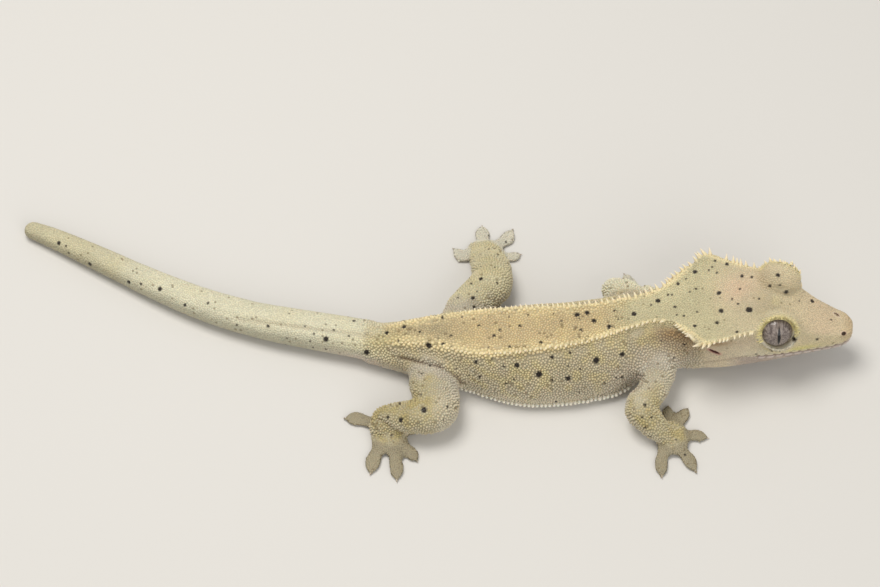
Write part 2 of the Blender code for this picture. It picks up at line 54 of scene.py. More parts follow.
# The camera: degrees above the floor, millimetres from what it looks at, lens and sensor
VIEW_ELEVATION = math.radians(55.0)
VIEW_DISTANCE = 520.0
LENS = 100.0
SENSOR = 36.0
PICTURE = (880, 587)

# The skull's frame: where its rear middle sits, and how far it turns from +X
HEAD_AT = (53.0, -11.9)
HEAD_TURN = math.radians(-5.5)

# Body from tail to snout: x, y of the middle line, height of the back, then half width and
# height of the crest, of the flank and of the belly's edge
TRUNK_ROWS = (
    (-15.0, -15.0, 7.4, 1.6, 7.2, 4.2, 3.9, 3.0, 0.5),
    (-9.0, -15.8, 8.8, 2.3, 8.7, 5.1, 4.4, 4.2, 0.7),
    (-3.0, -16.6, 10.8, 3.2, 10.8, 6.2, 5.2, 5.4, 0.9),
    (3.0, -17.5, 12.0, 4.6, 12.1, 6.9, 5.0, 5.6, 1.0),
    (8.0, -18.3, 12.7, 5.5, 12.9, 8.3, 4.4, 7.2, 1.0),
    (13.0, -18.5, 13.2, 5.6, 13.4, 10.0, 4.1, 9.3, 1.0),
    (18.5, -18.2, 13.5, 5.4, 13.8, 11.0, 4.0, 10.7, 1.0),
    (26.5, -17.4, 13.6, 4.9, 13.9, 11.2, 4.1, 10.8, 1.1),
    (33.0, -16.0, 13.7, 4.2, 14.0, 10.6, 4.5, 10.4, 1.2),
    (38.0, -14.6, 13.8, 3.8, 14.2, 9.6, 5.4, 8.8, 1.4),
    (43.0, -13.4, 14.0, 3.9, 14.4, 8.7, 6.2, 8.0, 2.0),
    (47.0, -12.8, 14.2, 5.2, 14.7, 8.5, 6.8, 8.8, 3.2),
    (51.0, -12.2, 14.5, 8.2, 15.1, 8.1, 8.0, 9.3, 3.6),
)
# The head likewise, where the first value runs along the skull's middle line
HEAD_ROWS = (
    (1.0, 14.9, 11.6, 15.4, 8.4, 9.4, 9.5, 4.1),
    (5.0, 15.0, 10.7, 15.7, 8.8, 9.8, 9.4, 4.4),
    (9.0, 15.3, 9.4, 16.1, 8.8, 10.4, 8.9, 4.9),
    (12.0, 15.6, 8.5, 16.8, 8.4, 10.9, 8.3, 5.4),
    (16.0, 15.8, 7.2, 17.4, 7.6, 11.3, 7.4, 5.9),
    (20.0, 14.4, 5.7, 15.4, 6.4, 10.9, 6.3, 6.2),
    (24.0, 12.7, 4.5, 12.7, 5.3, 10.0, 5.2, 6.6),
    (28.0, 11.4, 3.4, 11.2, 4.1, 9.2, 4.1, 6.9),
    (32.3, 9.9, 1.2, 9.7, 1.6, 8.9, 1.6, 7.7),
)
TAIL_ROWS = (
    (-17.3, -13.9, 4.4, 3.9),
    (-28.0, -11.6, 4.2, 3.8),
    (-38.7, -9.0, 3.9, 3.6),
    (-49.6, -5.0, 3.6, 3.3),
    (-60.7, 0.5, 3.2, 3.0),
    (-72.0, 6.9, 2.8, 2.65),
    (-82.5, 12.8, 2.35, 2.2),
    (-87.9, 15.5, 2.0, 1.85),
)
# Limbs: x, y, z and radius from the body to the wrist or ankle
LIMB_ROWS = {
    "fore_right": ((45.0, -18.5, 5.8, 4.0), (44.7, -23.6, 5.6, 3.4), (43.3, -28.2, 5.5, 2.9),
                   (40.9, -31.9, 5.0, 3.2), (42.7, -34.4, 3.8, 2.9), (44.9, -35.8, 2.5, 2.4),
                   (47.0, -35.7, 1.3, 2.4)),
    "fore_left": ((44.6, -9.5, 8.0, 3.6), (41.8, -6.4, 7.8, 3.0), (38.8, -4.1, 7.0, 2.7),
                  (36.2, -2.6, 5.5, 2.6), (38.8, -2.3, 3.8, 2.3), (41.6, -2.5, 2.4, 2.0),
                  (43.8, -1.7, 1.3, 2.2)),
    "hind_right": ((-2.4, -18.5, 4.7, 4.0), (-1.6, -24.2, 4.9, 4.3), (-0.8, -29.2, 5.0, 4.3),
                   (-0.8, -33.0, 4.9, 4.0), (-5.8, -33.9, 4.6, 3.5), (-11.0, -33.0, 3.0, 2.5),
                   (-11.8, -35.0, 1.9, 2.3)),
    "hind_left": ((3.0, -14.5, 5.0, 3.9), (5.2, -9.0, 5.4, 4.1), (8.6, -4.2, 5.6, 4.1),
                  (11.1, -0.4, 4.9, 4.0), (10.9, 3.6, 4.2, 3.8), (10.1, 7.0, 2.8, 3.3),
                  (9.8, 9.0, 1.8, 2.9)),
}
# Toes: root x, y, pad x, y, tip x, y, half width of the pad
TOE_ROWS = {
    "fore_right": ((46.8, -34.0, 46.8, -30.9, 47.0, -28.1, 1.4), (48.4, -34.3, 49.8, -31.2, 51.2, -28.8, 1.5),
                   (49.0, -35.8, 52.2, -35.7, 55.1, -36.4, 1.6), (48.2, -37.8, 50.4, -41.3, 51.9, -44.8, 1.65),
                   (45.6, -38.0, 44.8, -42.4, 44.8, -46.0, 1.6)),
    "fore_left": ((42.8, -0.4, 40.5, 2.6, 39.1, 5.2, 1.4), (44.4, -0.6, 45.3, 0.2, 46.1, 1.0, 1.1),
                  (46.0, -0.7, 48.6, 0.0, 51.0, 0.8, 1.4), (46.4, -1.6, 49.2, -2.2, 51.6, -2.6, 1.4),
                  (45.0, -2.8, 47.2, -4.3, 49.2, -5.2, 1.2)),
    "hind_right": ((-12.9, -33.1, -17.0, -31.7, -20.0, -31.6, 1.85),
                   (-12.2, -37.8, -13.5, -41.6, -14.2, -45.3, 1.85),
                   (-9.7, -38.2, -8.8, -43.0, -8.7, -46.9, 1.7), (-8.3, -37.2, -5.9, -39.9, -4.4, -42.2, 1.6),
                   (-8.8, -35.4, -6.0, -34.7, -3.8, -34.3, 1.15)),
    "hind_left": ((7.6, 9.2, 4.8, 9.3, 2.5, 11.8, 1.65), (9.0, 12.0, 9.2, 14.8, 9.1, 18.0, 1.85),
                  (11.8, 11.8, 14.4, 14.0, 15.9, 17.0, 1.75), (12.6, 9.6, 15.4, 9.3, 17.8, 10.1, 1.45),
                  (11.6, 8.0, 13.2, 7.2, 14.5, 6.4, 1.1)),
}
TOE_Z = 0.62

# Eyes, mouth and nostrils in the skull's frame
EYE_AT = {1: (16.3, 5.7, 14.3), -1: (16.05, -5.2, 14.0)}
EYE_RADIUS = 3.44
EYE_FACING = (0.14, 0.89, 0.43)
MOUTH_LINE = ((12.3, 8.0), (13.8, 7.7), (20.0, 7.3), (27.0, 7.3), (31.0, 7.7), (34.5, 8.1))
NOSTRIL = {1: (28.5, 1.55, 10.5), -1: (30.05, -2.45, 10.2)}

# The skin: how far the parts are fattened to close the cuts, how fine it is, and how deep
# under the solids' surface it lies, to leave room for the scales
FATTEN = 0.22
SKIN_VOXEL = 0.36
SKIN_INSET = 0.14
SMOOTH_ROUNDS = 14
BLEND_ROUNDS = 100


MAP_NAME = "OFBake"
MAP_PATCH = 0.003
PIXELS_PER_MM = 4.7
NOSTRIL_SHAPE = (0.62, 0.5, 0.45)
NOSTRIL_SIZE = {1: (0.62, 0.31), -1: (0.54, 0.40)}
NOSTRIL_WAY = {1: (0.80, -0.60), -1: (0.93, 0.37)}
EYE_OPENING = 3.08

# How far the skin lies under the solids along the crests by x, in and down, and how far in at
# the belly's edge and on the left flank: the spines and beads stand there
CREST_ROOM = ((-12.0, 0.0, 12.0, 40.0, 52.0, 68.0),
              (0.05, 0.15, 0.40, 0.60, 1.15, 1.0),
              (0.10, 0.25, 0.60, 0.75, 0.35, 0.3))
BELLY_ROOM = 0.7
FLANK_ROOM = 0.85
# Where the head's skin is drawn out or in: place, way and reach in the skull's frame
SWELLINGS = (
    ((15.4, 8.8, 17.4), (0.0, 0.20, 0.25), 3.0),
    ((20.4, 7.6, 14.6), (-0.40, -0.25, -0.10), 2.2),
)
# The left shoulder is drawn in: place, way and reach
SHOULDER_ROOM = ((43.5, -7.5, 10.5), (0.0, -1.2, -0.9), 4.0)

# Folds and slits by the places in the picture that they pass, then width and depth in mm,
# less than nothing for a raised one, and how much painted shade darkens the bottom
FOLDS = (
    (((637, 375), (641, 377), (643, 381), (640, 387), (634, 392)), 0.5, 0.5, 0.35),
    (((400, 357), (421, 362), (438, 366), (456, 376), (461, 382)), 0.55, 0.8, 0.55),
    (((400, 353), (421, 358), (438, 362), (457, 371), (464, 378)), 0.8, -0.35, 0.0),
    (((378, 418), (390, 425), (402, 432)), 0.45, 0.35, 0.35),
    (((237, 319), (270, 323), (300, 327), (330, 331), (357, 334), (374, 337)), 0.6, 0.2, 0.22),
)
# The same for those that both sides of the head have
HEAD_FOLDS = (
    (((708, 349), (714, 352), (720, 354)), 0.5, 0.6, 0.6),
    (((755, 354), (740, 357), (722, 360), (704, 362)), 0.4, 0.16, 0.25),
    (((717, 287), (714, 300), (716, 320)), 0.6, 0.14, 0.0),
)
# The ear's slit: both its ends in the picture
EAR = ((708.0, 349.0), (720.5, 354.2))

# Scales: how near each other they may be and how high they stand for their width, by place
SCALE_SPACING = {"toes": 0.30, "under": 0.50, "head": 0.35, "tail": 0.38, "body": 0.45, "beads": 0.60}
SCALE_HEIGHT = {"toes": 0.28, "under": 0.30, "head": 0.34, "tail": 0.38, "body": 0.74, "beads": 0.85}
KINDS = list(SCALE_SPACING)
# The photo's spots are ragged: how much wider than their solid middle
SPOT_GROWTH = 1.13
SPOT_LEAST = 0.235
# How much darker a scale's foot is than its top: painted shade in the gaps between scales, with a little painted
# light on the tops
SCALE_GAP_SHADE = {"toes": 0.10, "under": 0.14, "head": 0.13, "tail": 0.12, "body": 0.42, "beads": 0.26}
# How many of the scales are single dark ones
PEPPER_CHANCE = {"toes": 0.05, "under": 0.0, "head": 0.018, "tail": 0.025, "body": 0.07, "beads": 0.06}
SCALE_SIDES = 6
SCALES_PER_PIECE = 12000
SETTLE_ROUNDS = 4
HIDDEN_SPOTS = 60

# A spine's rings: height along it and width at that height
SPINE_RINGS = ((-0.3, 1.05), (0.1, 1.0), (0.4, 0.66), (0.75, 0.33))
SPINE_SIDES = 7
# The crests' spines by x: how far apart and how long, how much longer the left ones are, and
# how far the right and the left ones lean back
CREST_SPACING = ((-11.0, 0.0, 20.0, 40.0, 52.0, 68.0), (0.8, 0.95, 1.1, 1.15, 1.05, 0.9))
CREST_LENGTH = ((-11.0, 0.0, 10.0, 25.0, 40.0, 47.0, 53.0, 60.0, 66.0),
                (0.28, 0.40, 0.72, 0.92, 1.05, 1.15, 1.20, 1.05, 0.75))
CREST_LEFT = ((0.0, 40.0, 52.0, 60.0, 66.0), (1.1, 1.1, 1.15, 1.4, 1.5))
CREST_LEAN = {-1: ((-10.0, 20.0, 36.0, 50.0, 54.0, 62.0), (0.3, 0.25, 0.5, 0.5, 0.45, 0.2)),
              1: ((-10.0, 20.0, 40.0, 52.0, 62.0), (0.25, 0.15, 0.05, 0.0, 0.25))}
# No spines on the left crest here, between its corner and the next group
CREST_BARE = (56.2, 59.3)
# The brow's fringe: distance from the eye's axis, number, first and last angle, length
BROW_ROWS = ((3.60, 25, -8.0, 206.0, 0.62), (4.05, 19, 5.0, 200.0, 0.5))
# The row along the left brow's upper edge: first and last place along the skull, number, length
BROW_EDGE = (12.2, 21.0, 15, 0.78)

# The blunt spurs beside the vent, in the picture
SPUR = ((408.5, 374.5), (409.0, 377.5), (409.5, 380.5))

# Lip plates: lowest and highest edge from the mouth line, number on each side, tone
LIP_ROWS = (
    (0.10, 0.98, 11, (0.62, 0.55, 0.42)),
    (-0.92, -0.12, 10, (0.62, 0.54, 0.50)),
)
LIP_FRONT = 2.3

# Openings from the skin inwards: size, lift and colour, where None is the colour of the place; the colours darken
# into the hole as painted shade
COLLAR_SIDES = 28
NOSTRIL_HOLE_SHADE = (0.075, 0.042, 0.026)
NOSTRIL_PROFILE = (
    (2.0, -0.04, None), (1.55, 0.06, None), (1.25, 0.13, (0.66, 0.54, 0.41)), (1.02, 0.10, (0.34, 0.22, 0.14)),
    (0.90, 0.0, NOSTRIL_HOLE_SHADE), (0.75, -0.22, NOSTRIL_HOLE_SHADE), (0.4, -0.5, NOSTRIL_HOLE_SHADE),
)
EAR_HOLE_SHADE = (0.085, 0.030, 0.024)
EAR_PROFILE = (
    (1.6, -0.05, None), (1.35, 0.04, None), (1.15, 0.07, (0.50, 0.33, 0.25)), (0.95, 0.0, (0.30, 0.15, 0.11)),
    (0.8, -0.18, EAR_HOLE_SHADE), (0.6, -0.4, EAR_HOLE_SHADE), (0.3, -0.6, EAR_HOLE_SHADE),
)

# The eye's rim from the eyeball out: share of the way, lift, darkness and paleness
RIM_OUT = 3.76
RIM_PROFILE = (
    (-0.12, -0.10, 0.5, 0.2), (0.0, 0.03, 0.55, 0.2), (0.10, 0.10, 0.3, 0.4), (0.28, 0.16, 0.0, 0.8),
    (0.48, 0.14, 0.0, 0.9), (0.62, 0.06, 0.55, 0.3), (0.72, 0.08, 0.2, 0.6), (0.88, 0.06, 0.0, 0.4),
    (1.0, -0.05, 0.0, 0.0),
)

# The eye, as shares of its radius
EYE_RINGS = 64
EYE_SIDES = 96
PUPIL_HALF_LENGTH = 0.64
PUPIL_HALF_WIDTH = 0.088


# Dark spots, by x, y and radius in the picture
SPOTS = (
    (749, 310, 3), (721, 311, 2.3), (719, 293, 2), (717, 323, 1.8), (737, 332, 1.3), (695, 326, 1.5),
    (684, 316, 1.2), (697, 312, 1), (658, 301, 2.2), (651, 305, 1), (675, 307, 1.3), (634, 314, 2.2),
    (615, 311, 1.3), (609, 327, 2), (695, 272, 1.9), (678, 284, 1.5), (727, 264, 1.5), (742, 276, 1.6),
    (752, 277, 1.2), (740, 289, 1.2), (732, 299, 1), (738, 304, 1), (770, 286, 1.3), (778, 275, 1.8),
    (786, 292, 1.8), (780, 285, 0.8), (812, 301, 1.8), (799, 301, 0.8), (794, 339, 2.2), (817, 339, 1.3),
    (831, 320, 1), (759, 299, 0.8), (756, 354, 1), (772, 351, 1), (622, 354, 2.3), (684, 344, 1.5),
    (662, 341, 0.8), (673, 358, 0.8), (622, 377, 1.2), (616, 378, 1), (605, 383, 1), (354, 321, 1.6),
    (387, 333, 2), (385, 323, 1), (404, 327, 2), (415, 320, 1), (399, 340, 1.5), (420, 332, 1.4),
    (367, 352, 2.6), (429, 345, 2.8), (443, 344, 1.6), (451, 347, 1.2), (451, 336, 1.3), (439, 338, 1),
    (443, 317, 2), (479, 326, 1.3), (500, 330, 1.4), (494, 336, 1.6), (489, 316, 1), (489, 347, 1),
    (510, 347, 1.5), (520, 326, 1.5), (541, 343, 1.8), (561, 321, 1.2), (577, 315, 2.4), (587, 313, 2.3),
    (594, 321, 2.2), (581, 330, 1.6), (575, 329, 1), (610, 327, 1.8), (476, 362, 1.8), (491, 359, 1),
    (504, 366, 1.4), (517, 365, 2.3), (552, 357, 1.8), (570, 353, 1.4), (539, 374, 3), (568, 378, 2.4),
    (596, 360, 3), (580, 369, 1.2), (568, 366, 1), (552, 380, 1.3), (514, 379, 1.3), (506, 383, 1.5),
    (480, 377, 1.5), (468, 375, 1), (456, 368, 1), (579, 393, 1), (556, 401, 1.5), (481, 279, 2),
    (471, 284, 1.2), (473, 298, 1.8), (474, 307, 1.7), (495, 268, 1.4), (497, 283, 1.2), (489, 236, 1),
    (506, 242, 1), (458, 298, 1), (430, 366, 1.6), (424, 410, 2.6), (447, 407, 1.6), (400, 404, 1.6),
    (384, 405, 1.8), (388, 417, 1.6), (401, 420, 2.2), (421, 395, 1), (422, 374, 1.2), (443, 420, 1),
    (392, 435, 1.3), (380, 434, 1), (445, 389, 1), (645, 405, 1.6), (642, 417, 1.2), (651, 418, 1.2),
    (645, 428, 1.2), (650, 436, 1.3), (676, 440, 0.8), (685, 455, 0.9), (59, 243, 1.8), (90, 264, 1.8),
    (104, 276, 1.5), (129, 282, 1.8), (141, 284, 1.2), (160, 289, 2), (185, 305, 1.5), (208, 303, 1.2),
    (268, 326, 1.4), (326, 339, 2.4), (305, 326, 1), (287, 338, 1), (313, 347, 1), (237, 325, 1),
    (66, 246, 0.9), (69, 253, 1), (79, 262, 0.9), (289, 314, 0.8), (334, 330, 0.9), (367, 334, 0.9),
    (349, 336, 0.9), (314, 334, 0.9), (310, 341, 1), (326, 349, 1.1), (286, 344, 0.8), (686, 279, 1),
    (668, 295, 0.8), (672, 295, 0.8), (690, 292, 0.8), (696, 289, 0.8), (677, 315, 0.9), (579, 319, 1),
    (618, 319, 0.8), (712, 267, 1), (709, 270, 0.8), (715, 261, 1), (717, 273, 0.8), (622, 300, 1),
    (489, 250, 0.9), (498, 255, 1), (480, 255, 0.8), (505, 257, 0.9), (481, 267, 0.9), (513, 286, 1),
    (477, 292, 0.8), (462, 317, 1), (528, 315, 1), (553, 314, 1), (503, 313, 0.8), (509, 317, 0.9),
)


# Small tools

def linear(red, green, blue):
    """A colour as the eye reads it, 0 to 255, in the linear values that shaders take."""
    values = np.array((red, green, blue)) / 255.0
    return np.where(values <= 0.04045, values / 12.92, ((values + 0.055) / 1.055) ** 2.4)


# Colours

FLANK = linear(188, 177, 150)
FLANK_WARM = linear(193, 179, 140)
FLANK_YELLOW = linear(201, 187, 139)
FLANK_PALE = linear(202, 192, 170)
SHOULDER = linear(192, 181, 166)
BELLY = linear(226, 219, 203)
BACK = linear(202, 182, 140)
BACK_GOLD = linear(212, 192, 142)
HIP = linear(179, 165, 131)
HIP_OLIVE = linear(206, 190, 132)
NAPE = linear(197, 187, 149)
CROWN = linear(197, 184, 150)
CREST = linear(228, 211, 164)
CREST_SHADE = linear(146, 117, 80)
CHEEK = linear(206, 191, 163)
PALE_CHEEK = linear(212, 202, 174)
BLUSH = linear(205, 180, 150)
SNOUT = linear(205, 190, 155)
SNOUT_TIP = linear(190, 167, 132)
LIP_YELLOW = linear(208, 198, 128)
JAW_WITH_SHADE = linear(178, 163, 149)
MOUTH_DARK = linear(110, 84, 74)
BROW = linear(218, 204, 142)
RIM_PALE = linear(214, 206, 184)
RIM_LINE_AND_SOCKET_SHADE = linear(70, 56, 46)
FOLD_SHADE_PAINT = linear(120, 92, 74)
NOSTRIL_SKIN_SHADE = linear(64, 42, 32)
LIMB = linear(188, 177, 143)
LIMB_SIDE = linear(190, 181, 163)
LIMB_OLIVE = linear(180, 164, 110)
# Painted light: the left limbs and the left arm are paler, as the light falls on that side
LIMB_LEFT_LIT = linear(208, 199, 164)
ARM_LEFT_LIT = linear(226, 220, 192)
UPPER_ARM = linear(204, 195, 173)
# Painted shade on the right toes under the body, and painted light on the left toes
TOE_SHADED = linear(157, 146, 119)
TOE_LEFT_LIT = linear(208, 201, 180)
TAIL = linear(215, 209, 181)
TAIL_SHADE = linear(208, 200, 169)
TAIL_DUSK = linear(195, 186, 152)
TAIL_PINK = linear(214, 196, 184)
PEPPER = linear(104, 88, 54)
SPOT = linear(34, 26, 16)
CREST_TIP = linear(246, 233, 208)
FRINGE = linear(246, 240, 222)
CLAW_ROOT = linear(205, 194, 172)
CLAW_TIP = linear(150, 126, 98)
IRIS_DARK = linear(90, 80, 76)
IRIS_PALE = linear(154, 142, 134)
IRIS_VEIN = linear(78, 68, 62)
IRIS_HALO = linear(126, 112, 98)
IRIS_EDGE = linear(44, 36, 34)
PUPIL_DARK = linear(8, 7, 7)


def step(low, high, values):
    """0 below low, 1 above high, smooth between."""
    t = np.clip((values - low) / (high - low), 0.0, 1.0)
    return t * t * (3.0 - 2.0 * t)


def bump(values, middle, width):
    """A bell of height 1 about a middle."""
    return np.exp(-((values - middle) / width) ** 2)


def unit(vectors):
    return vectors / np.maximum(np.linalg.norm(vectors, axis=-1, keepdims=True), 1e-9)


def smooth_rows(rows, steps):
    """A smooth curve through rows of values, passing through every one of them."""
    rows = np.asarray(rows, dtype=float)
    padded = np.vstack([2 * rows[0] - rows[1], rows, 2 * rows[-1] - rows[-2]])
    out = []
    for i in range(len(rows) - 1):
        a, b, c, d = padded[i:i + 4]
        for t in np.arange(steps) / steps:
            out.append(0.5 * (2 * b + (c - a) * t + (2 * a - 5 * b + 4 * c - d) * t ** 2
                              + (3 * b - a - 3 * c + d) * t ** 3))
    out.append(rows[-1])
    return np.array(out)


def noise(points, size, seed):
    """Smooth noise from -1 to 1 with features of about a size in millimetres."""
    rng = np.random.default_rng(seed)
    total = np.zeros(len(points))
    waves = 14
    for _ in range(waves):
        way = unit(rng.normal(size=3)) * (2.0 * math.pi / size) * rng.uniform(0.6, 1.4)
        total += np.sin(points @ way + rng.uniform(0, 2 * math.pi))
    return np.clip(total / math.sqrt(waves) / 1.3, -1.0, 1.0)


def skull_to_world(along, side, height):
    cos, sin = math.cos(HEAD_TURN), math.sin(HEAD_TURN)
    x = HEAD_AT[0] + np.asarray(along) * cos - np.asarray(side) * sin
    y = HEAD_AT[1] + np.asarray(along) * sin + np.asarray(side) * cos
    return np.stack(np.broadcast_arrays(x, y, height), axis=-1).astype(float)


def world_to_skull(points):
    """Along, side and height in the skull's frame."""
    cos, sin = math.cos(HEAD_TURN), math.sin(HEAD_TURN)
    dx = points[..., 0] - HEAD_AT[0]
    dy = points[..., 1] - HEAD_AT[1]
    return np.stack([dx * cos + dy * sin, dy * cos - dx * sin, points[..., 2]], axis=-1)


def camera_axes():
    forward = np.array((0.0, math.cos(VIEW_ELEVATION), -math.sin(VIEW_ELEVATION)))
    up = np.array((0.0, math.sin(VIEW_ELEVATION), math.cos(VIEW_ELEVATION)))
    return forward, up


# The body's lines, which give every place its part and the lie of its scales

def body_columns():
    """The body's measures from the rump to the snout, one row for each x."""
    rows = [row for row in TRUNK_ROWS]
    for along, *measures in HEAD_ROWS:
        x, y, _ = skull_to_world(along, 0.0, 0.0)
        rows.append((x, y, *measures))
    return smooth_rows(rows, 4)


BODY = body_columns()


def body_at(x):
    """Middle line, back, crest, flank and belly measures of the body at each x."""
    return [np.interp(x, BODY[:, 0], BODY[:, column]) for column in range(1, BODY.shape[1])]


def line_rows():
    """Every line as rows of x, y, z and radius, with its kind: body, limb or toe."""
    lines = []
    spine = [(x, y, crest_z * 0.5, 0.5 * flank_w + 0.25 * crest_z)
             for x, y, _, _, crest_z, flank_w, _, _, _ in BODY[::-1]]
    spine += [(x, y, height, 0.5 * (width + height)) for x, y, width, height in TAIL_ROWS]
    lines.append(("body", spine))
    for name, rows in LIMB_ROWS.items():
        lines.append(("limb", smooth_rows(rows, 3)))
        for root_x, root_y, pad_x, pad_y, tip_x, tip_y, pad in TOE_ROWS[name]:
            lines.append(("toe", ((root_x, root_y, TOE_Z, 0.9), (pad_x, pad_y, TOE_Z, pad * 0.7),
                                  (tip_x, tip_y, TOE_Z, 0.3))))
    return lines


def line_segments(kinds):
    starts, ends, near, far = [], [], [], []
    for kind, rows in line_rows():
        if kind in kinds:
            rows = np.asarray(rows, dtype=float)
            starts.append(rows[:-1, :3])
            ends.append(rows[1:, :3])
            near.append(rows[:-1, 3])
            far.append(rows[1:, 3])
    return [np.concatenate(part) for part in (starts, ends, near, far)]


def nearest_line(points, kinds):
    """Distance outside the nearest tapered line, the way along it, and its axis point."""
    starts, ends, near, far = line_segments(kinds)
    spans = ends - starts
    lengths = np.maximum((spans ** 2).sum(1), 1e-9)
    distance = np.empty(len(points))
    way = np.empty((len(points), 3))
    axis = np.empty((len(points), 3))
    for first in range(0, len(points), 8192):
        some = points[first:first + 8192]
        t = np.clip(((some[:, None] - starts) * spans).sum(2) / lengths, 0.0, 1.0)
        feet = starts + t[..., None] * spans
        away = np.linalg.norm(some[:, None] - feet, axis=2) - (near + t * (far - near))
        best = away.argmin(1)
        rows = np.arange(len(some))
        distance[first:first + 8192] = away[rows, best]
        way[first:first + 8192] = unit(spans[best])
        axis[first:first + 8192] = feet[rows, best]
    return distance, way, axis


# The skin

def new_mesh(name, points, polygons):
    """A mesh in metres from millimetre points and arrays of polygons of equal size."""
    mesh = bpy.data.meshes.new(name)
    corners = np.concatenate([group.ravel() for group in polygons]).astype(np.int32)
    sizes = np.concatenate([np.full(len(group), group.shape[1]) for group in polygons])
    starts = np.concatenate([[0], np.cumsum(sizes)[:-1]]).astype(np.int32)
    mesh.vertices.add(len(points))
    mesh.loops.add(len(corners))
    mesh.polygons.add(len(sizes))
    mesh.vertices.foreach_set("co", ((points - BOX_MIDDLE) * MM).astype(np.float32).ravel())
    mesh.loops.foreach_set("vertex_index", corners)
    mesh.polygons.foreach_set("loop_start", starts)
    mesh.update(calc_edges=True)
    mesh.shade_smooth()
    return mesh


def new_piece(name, mesh, surface):
    """A piece of the animal, riding on its one body."""
    piece = bpy.data.objects.new(name, mesh)
    bpy.context.scene.collection.objects.link(piece)
    mesh.materials.append(surface)
    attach(piece, "root")
    return piece


def mesh_points(mesh):
    points = np.empty(len(mesh.vertices) * 3, np.float32)
    mesh.vertices.foreach_get("co", points)
    return points.reshape(-1, 3).astype(float) / MM + BOX_MIDDLE


def mesh_quads(mesh):
    quads = np.empty(len(mesh.loops), np.int32)
    mesh.loops.foreach_get("vertex_index", quads)
    return quads.reshape(-1, 4)


def quad_normals(points, quads):
    """Smooth normals at the points of a quad mesh."""
    across = points[quads[:, 2]] - points[quads[:, 0]]
    other = points[quads[:, 3]] - points[quads[:, 1]]
    faces = np.cross(across, other)
    total = np.zeros_like(points)
    for corner in range(4):
        for axis in range(3):
            total[:, axis] += np.bincount(quads[:, corner], faces[:, axis], len(points))
    return unit(total)


def relax_surface(points, quads, rounds, hold):
    """Even out a surface without shrinking it; hold is 1 where it must stay as it is."""
    one = np.concatenate([quads[:, k] for k in range(4)])
    two = np.concatenate([quads[:, (k + 1) % 4] for k in range(4)])
    count = np.bincount(one, minlength=len(points)) + np.bincount(two, minlength=len(points))
    loose = (1.0 - hold)[:, None]
    for turn in range(rounds):
        for factor in (0.55, -0.57):
            mean = np.empty_like(points)
            for axis in range(3):
                mean[:, axis] = (np.bincount(one, points[two, axis], len(points))
                                 + np.bincount(two, points[one, axis], len(points))) / count
            points = points + (mean - points) * factor * loose
    return points


def fused_flesh():
    """All the flesh of the frame as one closed quad mesh, the cuts closed."""
    shape = bmesh.new()
    for name in FLESH:
        shape.from_mesh(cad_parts[name].data)
    bmesh.ops.remove_doubles(shape, verts=shape.verts, dist=1e-6)
    bmesh.ops.recalc_face_normals(shape, faces=shape.faces)
    mesh = bpy.data.meshes.new("flesh")
    shape.to_mesh(mesh)
    shape.free()
    thing = bpy.data.objects.new("flesh", mesh)
    bpy.context.scene.collection.objects.link(thing)
    fatten = thing.modifiers.new("fatten", "DISPLACE")
    fatten.strength = FATTEN * MM
    fatten.mid_level = 0.0
    fuse = thing.modifiers.new("fuse", "REMESH")
    fuse.mode = "VOXEL"
    fuse.voxel_size = SKIN_VOXEL * MM
    bpy.context.view_layer.update()
    fused = bpy.data.meshes.new_from_object(thing.evaluated_get(bpy.context.evaluated_depsgraph_get()))
    points = mesh_points(fused)
    quads = mesh_quads(fused)
    bpy.data.objects.remove(thing)
    bpy.data.meshes.remove(mesh)
    bpy.data.meshes.remove(fused)
    return points, quads


def crest_gap(points):
    """Distance from each point to the nearer crest, and the way out from the middle."""
    y, _, crest_w, crest_z, _, _, _, _ = body_at(points[:, 0])
    side = points[:, 1] - y
    return np.hypot(np.abs(side) - crest_w, points[:, 2] - crest_z), np.sign(side)


def blend_limbs(points, quads):
    """Round off the corners where the limbs leave the body."""
    body_away, _, _ = nearest_line(points, ("body",))
    limb_away, _, _ = nearest_line(points, ("limb",))
    crest, _ = crest_gap(points)
    share = (1.0 - step(2.6, 4.6, np.abs(body_away))) * (1.0 - step(1.6, 3.4, np.abs(limb_away)))
    share *= step(1.8, 3.6, crest) * step(1.2, 2.2, points[:, 2])
    hips = (1.0 - step(1.6, 3.4, crest)) * (1.0 - step(-2.0, 16.0, points[:, 0]))
    share = np.maximum(share, 0.5 * hips * step(-16.0, -12.0, points[:, 0]))
    one = np.concatenate([quads[:, k] for k in range(4)])
    two = np.concatenate([quads[:, (k + 1) % 4] for k in range(4)])
    count = np.bincount(one, minlength=len(points)) + np.bincount(two, minlength=len(points))
    for turn in range(BLEND_ROUNDS):
        mean = np.empty_like(points)
        for axis in range(3):
            mean[:, axis] = (np.bincount(one, points[two, axis], len(points))
                             + np.bincount(two, points[one, axis], len(points))) / count
        points = points + (mean - points) * (0.6 * share)[:, None]
    return points


